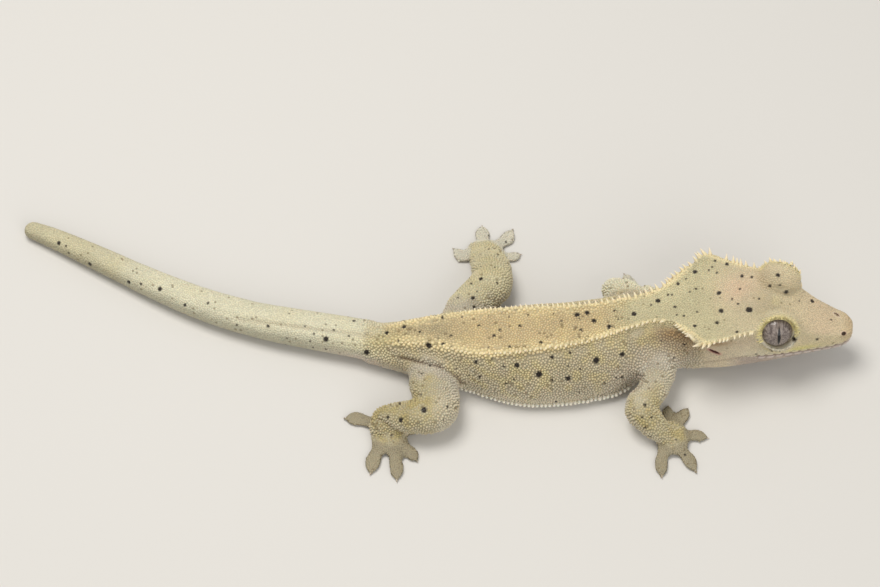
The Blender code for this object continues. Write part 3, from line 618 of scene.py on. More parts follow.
def make_room(points):
    """Draw the skin in along the crests and the belly's edges, where spines and beads stand."""
    crest, side = crest_gap(points)
    x = points[:, 0]
    head = step(43.0, 52.0, x)
    near = np.exp(-(crest / (1.7 + 0.4 * head)) ** 2) * step(-15.0, -6.0, x) * (1.0 - step(65.0, 68.0, x))
    places, inward, down = CREST_ROOM
    points = points.copy()
    points[:, 1] -= side * near * np.interp(x, places, inward)
    points[:, 2] -= near * np.interp(x, places, down)
    far = (side > 0) * bump(points[:, 2], 5.5, 3.5) * step(8.0, 16.0, x) * (1.0 - step(34.0, 42.0, x))
    points[:, 1] -= far * FLANK_ROOM
    y, _, _, _, _, _, belly_w, belly_z = body_at(x)
    edge = np.hypot(np.abs(points[:, 1] - y) - belly_w - 0.6, points[:, 2] - belly_z - 0.4)
    near = np.exp(-(edge / 1.3) ** 2) * step(2.0, 7.0, x) * (1.0 - step(38.0, 42.0, x))
    points[:, 1] -= side * near * BELLY_ROOM
    for place, way, reach in SWELLINGS:
        near = np.exp(-(np.linalg.norm(world_to_skull(points) - place, axis=1) / reach) ** 2)
        points += near[:, None] * (skull_to_world(*way) - skull_to_world(0.0, 0.0, 0.0))
    place, way, reach = SHOULDER_ROOM
    near = np.exp(-(np.linalg.norm(points - place, axis=1) / reach) ** 2) * step(1.0, 2.5, crest)
    return points + near[:, None] * way


def skin_shape():
    points, quads = fused_flesh()
    toe_away, _, _ = nearest_line(points, ("toe",))
    hold = 0.55 * (1.0 - step(0.2, 1.4, toe_away))
    points = relax_surface(points, quads, SMOOTH_ROUNDS, hold)
    points = blend_limbs(points, quads)
    normals = quad_normals(points, quads)
    points = make_room(points - normals * (FATTEN + SKIN_INSET))
    return points, quads


def plain_material(name, colour, roughness):
    made = bpy.data.materials.new(name)
    made.use_nodes = True
    shader = made.node_tree.nodes["Principled BSDF"]
    shader.inputs["Base Color"].default_value = (*linear(*colour), 1.0)
    shader.inputs["Roughness"].default_value = roughness
    return made


# The skin as a surface that things are put on

class Surface:
    """The skin's shape, for finding the nearest place on it, and its normal and map place."""

    def __init__(self, points, quads, corner_map):
        self.points = points
        self.quads = quads
        self.corner_map = corner_map
        self.normals = quad_normals(points, quads)
        self.tree = BVHTree.FromPolygons(points.tolist(), quads.tolist())

    def snap(self, targets):
        """The places on the skin nearest to some points, with the quad that each is on."""
        places = np.empty((len(targets), 3))
        faces = np.empty(len(targets), int)
        for i, target in enumerate(targets.tolist()):
            place, _, face, _ = self.tree.find_nearest(target)
            places[i] = place
            faces[i] = face
        return places, faces

    def cast(self, starts, ways):
        """The first places hit from some starts along some ways, or the start if none is."""
        found = np.array(starts, dtype=float)
        for i, (start, way) in enumerate(zip(starts.tolist(), ways.tolist())):
            place, _, _, _ = self.tree.ray_cast(start, way)
            if place is not None:
                found[i] = place
        return found

    def weights(self, places, faces):
        """How much each corner of its quad counts at a place."""
        gaps = np.linalg.norm(self.points[self.quads[faces]] - places[:, None], axis=2)
        near = 1.0 / (gaps + 0.02)
        return near / near.sum(1, keepdims=True)

    def normals_at(self, places, faces):
        shares = self.weights(places, faces)
        return unit((self.normals[self.quads[faces]] * shares[..., None]).sum(1))

    def map_at(self, places, faces):
        shares = self.weights(places, faces)
        return (self.corner_map[faces] * shares[..., None]).sum(1)

    def seen_from_camera(self, spots):
        """The places on the skin behind points of the picture, given as x and y in it."""
        forward, up = camera_axes()
        right = np.cross(forward, up)
        eye = Vector(-forward * VIEW_DISTANCE)
        pixels = PICTURE[0] * LENS / SENSOR
        found = []
        for u, v in spots:
            ray = forward * pixels + right * (u - PICTURE[0] / 2) - up * (v - PICTURE[1] / 2)
            place, _, _, _ = self.tree.ray_cast(eye, Vector(ray).normalized())
            if place is not None:
                found.append(tuple(place))
            else:
                found.append((0.0, 0.0, -100.0))
        return np.array(found)


def unwrap(piece):
    """Lay the skin out flat as the map of every scale's place, and return each corner's place."""
    bpy.context.view_layer.objects.active = piece
    piece.select_set(True)
    piece.data.uv_layers.new(name=MAP_NAME)
    bpy.ops.object.mode_set(mode="EDIT")
    bpy.ops.mesh.select_all(action="SELECT")
    bpy.ops.uv.smart_project(angle_limit=1.15, island_margin=0.004, scale_to_bounds=True)
    bpy.ops.object.mode_set(mode="OBJECT")
    piece.select_set(False)
    layer = piece.data.uv_layers[MAP_NAME].uv
    flat = np.empty(len(layer) * 2, np.float32)
    layer.foreach_get("vector", flat)
    return flat.reshape(-1, 4, 2).astype(float)


# Folds and openings of the skin

def path_distance(points, path):
    """Distance from each point to a path of places."""
    best = np.full(len(points), np.inf)
    for one, two in zip(path[:-1], path[1:]):
        span = two - one
        t = np.clip(((points - one) @ span) / max(span @ span, 1e-9), 0.0, 1.0)
        best = np.minimum(best, np.linalg.norm(points - (one + t[:, None] * span), axis=1))
    return best


def mirrored(path):
    """A path on the other side of the head or neck."""
    skull = world_to_skull(path)
    return skull_to_world(skull[:, 0], -skull[:, 1], skull[:, 2])


def fold_paths(surface):
    """Every fold and slit as its path, width, depth and darkness."""
    paths = []
    for spots, *shape in FOLDS:
        path = surface.seen_from_camera(spots)
        paths.append((path[path[:, 2] > -1.0], *shape))
    for spots, *shape in HEAD_FOLDS:
        path = surface.seen_from_camera(spots)
        paths.append((path, *shape))
        paths.append((mirrored(path), *shape))
    return paths


def mouth_gap(skull):
    """How far above the mouth line a point of the head is, and how much the mouth is there."""
    line = np.array(MOUTH_LINE)
    height = np.interp(skull[:, 0], line[:, 0], line[:, 1])
    return skull[:, 2] - height, step(12.0, 13.4, skull[:, 0])


def eye_axis(sign):
    """Middle of an eye and the way it faces, in the world."""
    middle = skull_to_world(*EYE_AT[sign])
    facing = Vector((EYE_FACING[0], sign * EYE_FACING[1], EYE_FACING[2])).normalized()
    facing.rotate(Matrix.Rotation(HEAD_TURN, 3, "Z"))
    return middle, np.array(facing)


def around_eye(points, sign):
    """Distance from the eye's axis, and height along it."""
    middle, facing = eye_axis(sign)
    along = (points - middle) @ facing
    out = np.linalg.norm(points - middle - along[:, None] * facing, axis=1)
    return out, along


def nostril_gap(skull, sign):
    """Distance from a nostril's middle, where 1 is about its edge."""
    return np.linalg.norm((skull - NOSTRIL[sign]) / NOSTRIL_SHAPE, axis=1)


def sculpt(surface):
    """The skin's points with the mouth, nostrils, eye rims, ears and folds worked in."""
    points, normals = surface.points, surface.normals
    skull = world_to_skull(points)
    lift = np.zeros(len(points))
    gap, mouth = mouth_gap(skull)
    outward = 1.0 - step(0.5, 0.9, np.abs(normals[:, 2]))
    lift -= 0.30 * bump(gap, 0.0, 0.3) * mouth * outward
    for sign in (1, -1):
        lift -= 0.7 * np.exp(-nostril_gap(skull, sign) ** 2)
    for path, width, depth, _ in fold_paths(surface):
        lift -= depth * bump(path_distance(points, path), 0.0, width)
    pleats = np.sin(points[:, 0] * 2 * math.pi / 1.25) * step(26.0, 32.0, points[:, 0])
    pleats *= (1.0 - step(40.0, 43.0, points[:, 0])) * bump(points[:, 2], 2.0, 2.2)
    lift += 0.10 * pleats
    points = points + normals * lift[:, None]
    for sign in (1, -1):
        middle, _ = eye_axis(sign)
        out, along = around_eye(points, sign)
        rim = bump(out, EYE_OPENING, 0.8) * step(0.6, 1.4, along)
        points = points - unit(points - middle) * (0.36 * rim)[:, None]
    return points


def body_columns_at(points):
    """Sideways distance from the middle line, and the body's measures, at each point."""
    y, back, crest_w, crest_z, flank_w, flank_z, belly_w, belly_z = body_at(points[:, 0])
    return np.abs(points[:, 1] - y), y, back, crest_w, crest_z, flank_w, flank_z, belly_w, belly_z


# The markings, with their painted light and shade, the same for skin and scales

def mix(colours, other, share):
    return colours + (np.asarray(other) - colours) * np.clip(share, 0.0, 1.0)[:, None]


def ground_colour(points, normals):
    """The colour of the animal at each point, with its painted light and shade, before its dark spots."""
    lateral, _, _, crest_w, crest_z, flank_w, flank_z, _, belly_z = body_columns_at(points)
    x, z = points[:, 0], points[:, 2]
    up = normals[:, 2]
    skull = world_to_skull(points)
    broad = noise(points, 9.0, 1)
    middling = noise(points, 3.5, 2)
    fine = noise(points, 1.2, 3)
    below = np.clip((crest_z - z) / np.maximum(crest_z, 1.0), 0.0, 1.0)
    inside = step(-0.7, 0.5, crest_w - lateral) * step(-2.2, -0.6, z - crest_z)

    colour = np.broadcast_to(FLANK, points.shape).copy()
    colour = mix(colour, FLANK_WARM, (0.55 + 0.45 * middling) * (1.0 - step(0.35, 0.65, below)))
    colour = mix(colour, FLANK_YELLOW, 0.55 * step(0.1, 0.7, middling) * step(-6, 6, x))
    colour = mix(colour, FLANK_PALE, step(0.5, 0.92, below) * (0.75 + 0.25 * broad))
    shoulder = bump(x, 44.0, 8.0) * step(0.15, 0.5, below)
    colour = mix(colour, SHOULDER, 0.85 * shoulder)
    colour = mix(colour, BELLY, step(0.2, 0.7, -up) * (1.0 - step(2.5, 4.5, z)))

    top = np.broadcast_to(BACK, points.shape).copy()
    top = mix(top, BACK_GOLD, 0.5 * step(-0.2, 0.8, middling))
    top = mix(top, HIP, (1.0 - step(-2.0, 8.0, x)) * (0.75 + 0.25 * middling))
    top = mix(top, NAPE, step(31.0, 40.0, x))
    top = mix(top, CROWN, step(54.0, 62.0, x))
    colour = mix(colour, top, inside)

    crest = np.hypot(lateral - crest_w, z - crest_z)
    band = (1.0 - step(0.5, 1.5, crest)) * step(-14.0, -8.0, x) * (1.0 - step(66.0, 68.5, x))
    colour = mix(colour, CREST, band * 0.85)
    beads = bump(crest_w - lateral, 1.2, 1.1) * inside * (1.0 - step(30.0, 40.0, x))
    colour = mix(colour, CREST, 0.5 * beads * step(-0.3, 0.4, fine + 0.3))

    head = step(52.0, 55.0, x)
    cheek = head * (1.0 - inside) * (1.0 - step(10.0, 15.0, skull[:, 0]))
    colour = mix(colour, CHEEK, cheek)
    # A brown band under the crest and on the neck's side: a brown tone with painted shade from the crest's
    # overhang
    under_crest = bump(z, crest_z - 2.2, 1.8) * (1.0 - inside) * step(40.0, 48.0, x)
    under_crest *= 1.0 - 0.75 * step(56.0, 61.0, x) - 0.25 * step(66.0, 69.0, x)
    colour = mix(colour, CREST_SHADE, 0.85 * under_crest)
    neck_side = bump(z, crest_z - 5.0, 2.2) * (1.0 - inside) * bump(x, 51.0, 4.5)
    colour = mix(colour, CREST_SHADE, 0.5 * neck_side)
    colour = mix(colour, SNOUT, step(14.0, 19.0, skull[:, 0]))
    blush = np.exp(-((skull[:, 0] - 9.5) / 5.5) ** 2 - ((skull[:, 1] - 3.0) / 4.5) ** 2) * inside
    colour = mix(colour, BLUSH, blush * (0.8 + 0.3 * broad))
    colour = mix(colour, BLUSH, 0.55 * bump(skull[:, 0], 26.0, 5.0) * step(0.3, 0.9, up) * head)
    colour = mix(colour, SNOUT_TIP, step(29.0, 31.5, skull[:, 0]) * 0.8)
    gap, mouth = mouth_gap(skull)
    lip = bump(gap, 1.3, 1.0) * mouth * bump(skull[:, 0], 21.5, 3.6) * (1.0 - step(0.6, 0.9, up))
    colour = mix(colour, LIP_YELLOW, 0.95 * lip)
    eye_front = bump(skull[:, 0], 13.0, 5.0) * bump(skull[:, 2], 8.8, 1.6) * step(4.0, 5.5, np.abs(skull[:, 1]))
    colour = mix(colour, PALE_CHEEK, 0.8 * eye_front)
    # The lower jaw: its own tone, darkened further as painted shade
    jaw = (1.0 - step(-0.3, 0.1, gap)) * step(6.0, 11.0, skull[:, 0])
    colour = mix(colour, JAW_WITH_SHADE, jaw)
    colour = mix(colour, MOUTH_DARK, 0.95 * bump(gap, 0.0, 0.22) * mouth * (1.0 - step(0.7, 0.9, np.abs(up))))
    for sign in (1, -1):
        out, along = around_eye(points, sign)
        rim = step(1.2, 1.8, along)
        above = step(-0.4, 1.0, z - EYE_AT[sign][2])
        colour = mix(colour, BROW, 0.8 * rim * bump(out, 3.7, 0.7) * above)
        colour = mix(colour, RIM_PALE, rim * bump(out, 3.6, 0.5) * (1.0 - above))
        colour = mix(colour, RIM_LINE_AND_SOCKET_SHADE, 0.6 * rim * bump(out, 4.05, 0.12) * (1.0 - above))
        # Painted shade on the skin that runs in under the eyeball
        colour = mix(colour, RIM_LINE_AND_SOCKET_SHADE, 0.7 - 0.7 * step(3.0, 3.15, out + 3.0 * step(-1.0, -0.5, -along)))
        # Painted shade on the skin inside each nostril
        colour = mix(colour, NOSTRIL_SKIN_SHADE, 1.0 - step(0.6, 1.0, nostril_gap(skull, sign)))

    body_away, _, _ = nearest_line(points, ("body",))
    limb_away, _, _ = nearest_line(points, ("limb",))
    toe_away, _, _ = nearest_line(points, ("toe",))
    limb = np.broadcast_to(LIMB, points.shape).copy()
    # Painted light: the left limbs are painted paler than the right ones
    left = step(2.0, 9.0, points[:, 1] - body_at(x)[0])
    limb = mix(limb, LIMB_OLIVE, 0.7 * step(-0.3, 0.6, middling) * step(5.0, 9.0, body_away))
    limb = mix(limb, LIMB_OLIVE, 0.4 * step(-0.1, 0.5, fine) * step(0.3, 0.8, up))
    limb = mix(limb, LIMB_LEFT_LIT, 0.7 * left)
    upper_arm = step(30.0, 36.0, x) * (1.0 - step(5.0, 11.0, body_away + middling))
    limb = mix(limb, UPPER_ARM, 0.75 * upper_arm)
    knee = (1.0 - left) * step(-3.0, 1.0, x) * (1.0 - step(8.0, 14.0, x))
    limb = mix(limb, UPPER_ARM, 0.8 * knee * (0.85 + 0.3 * middling))
    limb = mix(limb, LIMB_SIDE, 0.85 * (1.0 - step(2.0, 5.0, body_away - 1.5 * middling)))
    limb = mix(limb, LIMB_SIDE, 0.35 * (1.0 - step(0.1, 0.6, up)))
    limb = mix(limb, ARM_LEFT_LIT, 0.9 * left * step(25.0, 30.0, x))
    limb = mix(limb, BELLY, step(0.3, 0.8, -up))
    colour = mix(colour, limb, step(-0.4, 2.2, body_away - limb_away))
    # Painted shade on the right toes and painted light on the left toes
    toes = mix(np.broadcast_to(TOE_SHADED, points.shape).copy(), TOE_LEFT_LIT, left)
    colour = mix(colour, toes, step(-0.8, 0.8, np.minimum(limb_away, body_away) - toe_away) * step(-2.5, -1.8, -z))

    tail = np.broadcast_to(TAIL, points.shape).copy()
    tail = mix(tail, TAIL_SHADE, 0.5 * step(0.0, 0.8, broad))
    tail = mix(tail, TAIL_DUSK, 0.85 * step(58.0, 76.0, -x + 4.0 * broad))
    # Painted shade: the tail's sides and underside are darker, away from the light above
    tail = tail * (1.0 - 0.28 * (1.0 - step(0.25, 0.85, up)))[:, None]
    tail = mix(tail, TAIL_PINK, 0.5 * (1.0 - step(16.0, 30.0, -x)) * (1.0 - step(-0.2, 0.5, up)))
    on_tail = (1.0 - step(-17.0, -9.0, x - 1.5 * middling)) * step(-2.0, -1.0, -body_away)
    colour = mix(colour, tail, on_tail)
    olive = bump(x, -12.5, 4.5) * bump(points[:, 1], -17.0, 2.2) * step(0.2, 0.7, up)
    colour = mix(colour, HIP_OLIVE, 0.55 * olive)
    return colour * (1.0 + 0.05 * broad + 0.03 * fine)[:, None]


def spot_places(surface):
    """Middle and radius of every dark spot, those of the hidden side strewn at random."""
    table = np.array(SPOTS, dtype=float)
    places = surface.seen_from_camera(table[:, :2])
    radii = np.maximum(table[:, 2] * SPOT_GROWTH / PIXELS_PER_MM, SPOT_LEAST)
    rng = np.random.default_rng(7)
    chosen = rng.integers(0, len(surface.points), 1500)
    pool = surface.points[chosen]
    forward, _ = camera_axes()
    _, y, _, _, _, _, _, _, _ = body_columns_at(pool)
    hidden = (pool[:, 1] - y > 4.0) & (pool[:, 2] > 2.5) & (pool[:, 2] < 12.0) & (pool[:, 0] < 60.0)
    hidden &= (np.abs(pool[:, 1] - y) < 14.0) & (surface.normals[chosen] @ forward > 0.1)
    more = pool[hidden][:HIDDEN_SPOTS]
    places = np.vstack([places, more])
    radii = np.concatenate([radii, rng.uniform(0.16, 0.55, len(more))])
    # The folds whose bottoms get painted shade
    folds = [(path, width, dark) for path, width, _, dark in fold_paths(surface) if dark > 0.0]
    return places, radii, folds


def add_spots(colour, points, spots):
    """Darken colours at the points that lie in a spot, and with painted shade along the bottom of a deep fold."""
    places, radii, folds = spots
    # Painted shade along the bottom of each fold
    for path, width, dark in folds:
        reach = np.linalg.norm(path - path.mean(0), axis=1).max() + 2.0
        near = np.flatnonzero(np.linalg.norm(points - path.mean(0), axis=1) < reach)
        painted_shade = bump(path_distance(points[near], path), 0.0, 0.6 * width + 0.08)
        colour = colour.copy()
        colour[near] = mix(colour[near], FOLD_SHADE_PAINT, dark * painted_shade)
    ragged = 0.06 * noise(points, 0.7, 11)
    order = np.argsort(points[:, 0])
    sorted_x = points[order, 0]
    share = np.zeros(len(points))
    for place, radius in zip(places, radii):
        first, last = np.searchsorted(sorted_x, (place[0] - radius - 0.4, place[0] + radius + 0.4))
        near = order[first:last]
        gap = np.linalg.norm(points[near] - place, axis=1) + ragged[near]
        share[near] = np.maximum(share[near], 1.0 - step(radius - 0.10, radius + 0.12, gap))
    return mix(colour, SPOT, share)


def set_colour(mesh, colours):
    layer = mesh.attributes.new("markings_and_painted_shading", "FLOAT_COLOR", "POINT")
    values = np.ones((len(colours), 4), np.float32)
    values[:, :3] = np.clip(colours, 0.0, 1.0)
    layer.data.foreach_set("color", values.ravel())


# Scales

def scatter(piece, room_name, spacing):
    """Points on a piece no nearer to each other than a spacing, where it has room."""
    group = bpy.data.node_groups.new("scatter", "GeometryNodeTree")
    group.interface.new_socket("Geometry", in_out="INPUT", socket_type="NodeSocketGeometry")
    group.interface.new_socket("Geometry", in_out="OUTPUT", socket_type="NodeSocketGeometry")
    nodes, links = group.nodes, group.links
    start = nodes.new("NodeGroupInput")
    end = nodes.new("NodeGroupOutput")
    spread = nodes.new("GeometryNodeDistributePointsOnFaces")
    spread.distribute_method = "POISSON"
    spread.inputs["Distance Min"].default_value = spacing * MM
    spread.inputs["Density Max"].default_value = 3.0 / (spacing * MM) ** 2
    spread.inputs["Seed"].default_value = 5
    room = nodes.new("GeometryNodeInputNamedAttribute")
    room.data_type = "FLOAT"
    room.inputs["Name"].default_value = room_name
    verts = nodes.new("GeometryNodePointsToVertices")
    links.new(start.outputs[0], spread.inputs["Mesh"])
    links.new(room.outputs["Attribute"], spread.inputs["Density Factor"])
    links.new(spread.outputs["Points"], verts.inputs["Points"])
    links.new(verts.outputs[0], end.inputs[0])
    thing = bpy.data.objects.new("scatter", piece.data)
    bpy.context.scene.collection.objects.link(thing)
    modifier = thing.modifiers.new("scatter", "NODES")
    modifier.node_group = group
    bpy.context.view_layer.update()
    made = bpy.data.meshes.new_from_object(thing.evaluated_get(bpy.context.evaluated_depsgraph_get()))
    points = mesh_points(made)
    bpy.data.objects.remove(thing)
    bpy.data.meshes.remove(made)
    return points


def scale_rooms(surface):
    """Where each size of scale goes, as a weight for every point of the skin."""
    points, normals = surface.points, surface.normals
    skull = world_to_skull(points)
    free = np.ones(len(points))
    gap, mouth = mouth_gap(skull)
    outward = np.abs(normals[:, 2]) < 0.8
    free[(np.abs(gap + 0.05) < 1.05) & (mouth > 0.5) & outward] = 0.0
    for sign in (1, -1):
        out, along = around_eye(points, sign)
        free[(out < RIM_OUT) & (along > 0.2)] = 0.0
        inner = np.linalg.norm(points - eye_axis(sign)[0], axis=1) < EYE_RADIUS + 0.45
        free[inner & (along > -1.0) & (out < RIM_OUT + 0.2)] = 0.0
        free[nostril_gap(skull, sign) < 1.35] = 0.0
    toe_away, _, _ = nearest_line(points, ("toe",))
    limb_away, _, _ = nearest_line(points, ("limb",))
    toe = (toe_away < limb_away) & (points[:, 2] < 2.2) & (toe_away < 1.0)
    under = (normals[:, 2] < -0.45) & ~toe
    _, _, crest_w, crest_z, _, _, _, _ = body_at(points[:, 0])
    nape = (points[:, 0] > 39.0) & (crest_gap(points)[0] < 40.0) & (points[:, 2] > crest_z - 2.0)
    nape &= normals[:, 2] > 0.5
    head = ((skull[:, 0] > 2.0) | nape) & ~under
    tail = (points[:, 0] < -16.0) & (toe_away > 2.0) & ~under
    crest, side = crest_gap(points)
    y, _, crest_w, _, _, _, _, _ = body_at(points[:, 0])
    inner = crest_w - np.abs(points[:, 1] - y)
    reach = np.interp(points[:, 0], (-14.0, -8.0, 12.0, 30.0, 42.0, 48.0), (0.4, 1.5, 1.7, 1.1, 0.7, 0.0))
    beads = (crest < reach) & (inner > -0.9) & (points[:, 0] > -13.0) & (points[:, 0] < 66.5) & ~under
    rest = ~(toe | under | head | tail | beads)
    return {"toes": free * toe, "under": free * under, "head": free * (head & ~beads),
            "tail": free * tail, "body": free * rest, "beads": free * beads}


def settle_roots(surface, roots, spacing, rounds):
    """Push crowded scale roots apart along the skin, and measure the room of each."""
    for turn in range(rounds + 1):
        tree = KDTree(len(roots))
        for i, root in enumerate(roots.tolist()):
            tree.insert(root, i)
        tree.balance()
        near = np.array([[hit[1] for hit in tree.find_n(root, 7)] for root in roots.tolist()])[:, 1:]
        apart = roots[:, None] - roots[near]
        gaps = np.linalg.norm(apart, axis=2)
        if turn == rounds:
            return roots, gaps
        reach = spacing[:, None] * 1.25
        push = np.clip(reach - gaps, 0.0, None) / np.maximum(gaps, 1e-6)
        roots = roots + 0.35 * (apart * push[..., None]).sum(1)
        roots, _ = surface.snap(roots)


def grow_scales(surface, piece):
    """Root, room and kind of every scale."""
    roots, spacing, kinds = [], [], []
    for number, (kind, room) in enumerate(scale_rooms(surface).items()):
        layer = piece.data.attributes.new("room_" + kind, "FLOAT", "POINT")
        layer.data.foreach_set("value", room.astype(np.float32))
        some = scatter(piece, "room_" + kind, SCALE_SPACING[kind])
        piece.data.attributes.remove(piece.data.attributes["room_" + kind])
        roots.append(some)
        spacing.append(np.full(len(some), SCALE_SPACING[kind]))
        kinds.append(np.full(len(some), number))
    roots, spacing, kinds = (np.concatenate(part) for part in (roots, spacing, kinds))
    rounds = SETTLE_ROUNDS
    roots, gaps = settle_roots(surface, roots, spacing, rounds)
    return roots, np.clip(gaps.mean(1), 0.8 * spacing, 1.6 * spacing), kinds


def scale_shape():
    """One scale: a low dome, its length along -X, with its faces."""
    turns = np.arange(SCALE_SIDES) * 2 * math.pi / SCALE_SIDES
    ring = np.stack([np.cos(turns), np.sin(turns), np.zeros(SCALE_SIDES)], axis=1)
    foot = ring * (1.02, 1.02, 1) + (0, 0, -0.5)
    shoulder = ring * (0.76, 0.76, 1) + (-0.04, 0, 0.66)
    points = np.vstack([foot, shoulder, (-0.16, 0.0, 1.0)])
    here = np.arange(SCALE_SIDES)
    there = (here + 1) % SCALE_SIDES
    sides = np.stack([here, there, there + SCALE_SIDES, here + SCALE_SIDES], axis=1)
    crown = np.stack([here + SCALE_SIDES, there + SCALE_SIDES, np.full(SCALE_SIDES, 2 * SCALE_SIDES)], axis=1)
    return points, sides, crown


def place_scales(shape, roots, ways, normals, length, width, height, peak):
    """The points of many copies of a scale, each turned, sized and more or less pointed."""
    across = np.cross(normals, ways)
    top = shape[:, 2] > 0
    taper = np.where(top[None], 1.0 - 0.5 * peak[:, None], 1.0)
    rise = np.where(top[None], 1.0 + 0.35 * peak[:, None], 1.0)
    out = roots[:, None] + (shape[:, 0] * taper * length[:, None])[..., None] * ways[:, None]
    out += (shape[:, 1] * taper * width[:, None])[..., None] * across[:, None]
    out += (shape[:, 2] * rise * height[:, None])[..., None] * normals[:, None]
    return out


def copies_piece(name, verts, faces, colours, patch, coat):
    """One piece from many copies of a shape, with their colours and places on the map."""
    count = verts.shape[1]
    offset = (np.arange(len(verts)) * count)[:, None, None]
    polygons = [(group[None] + offset).reshape(-1, group.shape[1]) for group in faces]
    mesh = new_mesh(name, verts.reshape(-1, 3), polygons)
    set_colour(mesh, colours.reshape(-1, 3))
    corners = np.empty(len(mesh.loops), np.int32)
    mesh.loops.foreach_get("vertex_index", corners)
    layer = mesh.uv_layers.new(name=MAP_NAME)
    layer.uv.foreach_set("vector", patch.reshape(-1, 2)[corners].astype(np.float32).ravel())
    return new_piece(name, mesh, coat)


def scale_groups(places, kinds):
    """Which piece each scale belongs to."""
    y, _, crest_w, _, _, _, _, _ = body_at(places[:, 0])
    side = places[:, 1] - y
    limb_away, _, _ = nearest_line(places, ("limb",))
    body_away, _, _ = nearest_line(places, ("body",))
    on_side = np.abs(side) > crest_w * 0.95
    group = np.where(on_side, np.where(side < 0, 1, 2), 0)
    group = np.where(limb_away < body_away - 0.5, 3, group)
    group = np.where(kinds == KINDS.index("under"), 4, group)
    return np.where(kinds == KINDS.index("toes"), 5, group)


def make_scales(surface, piece, spots, coat):
    shape, sides, crown = scale_shape()
    roots, room, kinds = grow_scales(surface, piece)
    places, faces = surface.snap(roots)
    normals = surface.normals_at(places, faces)
    _, ways, _ = nearest_line(places, ("body", "limb", "toe"))
    ways = unit(ways - (ways * normals).sum(1)[:, None] * normals)
    rng = np.random.default_rng(3)
    body = kinds == KINDS.index("body")
    limb_away, _, _ = nearest_line(places, ("limb",))
    body_away, _, _ = nearest_line(places, ("body",))
    on_limb = body & (limb_away < body_away - 0.3)
    height = np.array([SCALE_HEIGHT[kind] for kind in KINDS])[kinds]
    height = height * np.where(on_limb, 0.8 + 0.5 * step(-0.2, 0.6, noise(places, 5.0, 21)), 1.0)
    peak = np.where(body | (kinds == KINDS.index("beads")), rng.uniform(0.3, 0.7, len(roots)), 0.1)
    peak = np.where(on_limb, 0.8, peak)
    radius = room * 0.53 * rng.uniform(0.92, 1.08, len(roots))
    verts = place_scales(shape, places, -ways, normals, radius * 1.06, radius, radius * height, peak)

    ground = ground_colour(places, normals)
    tint = rng.uniform(0.93, 1.07, len(roots))[:, None]
    chance = np.array([PEPPER_CHANCE[kind] for kind in KINDS])[kinds] * (normals[:, 2] > -0.2)
    pepper = rng.random(len(roots)) < chance * step(-0.5, 0.6, noise(places, 6.0, 5))
    ground = mix(ground * tint, PEPPER, 0.6 * pepper)
    # Painted shade: each scale's foot is darker and its top lighter, less so on the back, the limbs, the tail base
    # and the neck
    foot = np.arange(len(shape)) < SCALE_SIDES
    depth = np.array([SCALE_GAP_SHADE[kind] for kind in KINDS])[kinds]
    depth = depth * np.where(body, 1.0 - 0.45 * step(0.7, 0.95, normals[:, 2]), 1.0)
    depth = depth * np.where(on_limb | (places[:, 0] < -12.0), 0.55, 1.0)
    depth = depth * np.where(body, 1.0 - 0.6 * step(32.0, 42.0, places[:, 0]), 1.0)
    painted_shade = np.where(foot[None], 1.0 - depth[:, None], 1.0 + 0.22 * depth[:, None])
    colours = ground[:, None] * painted_shade[..., None]
    colours = add_spots(colours.reshape(-1, 3), verts.reshape(-1, 3), spots).reshape(colours.shape)
    patch = surface.map_at(places, faces)[:, None] + shape[None, :, :2] * (MAP_PATCH / 2)
    group = scale_groups(places, kinds)
    for number, name in enumerate(("scales_back", "scales_right", "scales_left", "scales_limbs",
                                   "scales_under", "scales_toes")):
        members = np.flatnonzero(group == number)
        parts = max(1, math.ceil(len(members) / SCALES_PER_PIECE))
        for part in range(parts):
            some = members[part::parts]
            title = name if parts == 1 else f"{name}_{part + 1}"
            copies_piece(title, verts[some], (sides, crown), colours[some], patch[some], coat)


# Spines, fringes and beads

def spine_faces():
    here = np.arange(SPINE_SIDES)
    there = (here + 1) % SPINE_SIDES
    quads = []
    for ring in range(len(SPINE_RINGS) - 1):
        low, high = ring * SPINE_SIDES, (ring + 1) * SPINE_SIDES
        quads.append(np.stack([here + low, there + low, there + high, here + high], axis=1))
    last = (len(SPINE_RINGS) - 1) * SPINE_SIDES
    tips = np.stack([here + last, there + last, np.full(SPINE_SIDES, last + SPINE_SIDES)], axis=1)
    return np.concatenate(quads), tips


def spine_points(roots, ways, backs, lengths, radii, bend, blunt):
    """The points of many curved spines that stand along ways and lean towards backs."""
    backs = unit(backs - (backs * ways).sum(1)[:, None] * ways)
    across = np.cross(ways, backs)
    turns = np.arange(SPINE_SIDES) * 2 * math.pi / SPINE_SIDES
    rings = []
    for height, width in SPINE_RINGS:
        width = width ** (1.0 - 0.6 * blunt)
        lean = max(height, 0.0) ** 2 * bend
        middle = roots + ways * (lengths * height)[:, None] + backs * (lengths * lean)[:, None]
        round_ = across[:, None] * np.cos(turns)[:, None] + backs[:, None] * np.sin(turns)[:, None]
        rings.append(middle[:, None] + round_ * (radii * width)[:, None, None])
    tip = roots + ways * (lengths * (1.0 - 0.08 * blunt))[:, None] + backs * (lengths * bend)[:, None]
    return np.concatenate(rings + [tip[:, None]], axis=1)


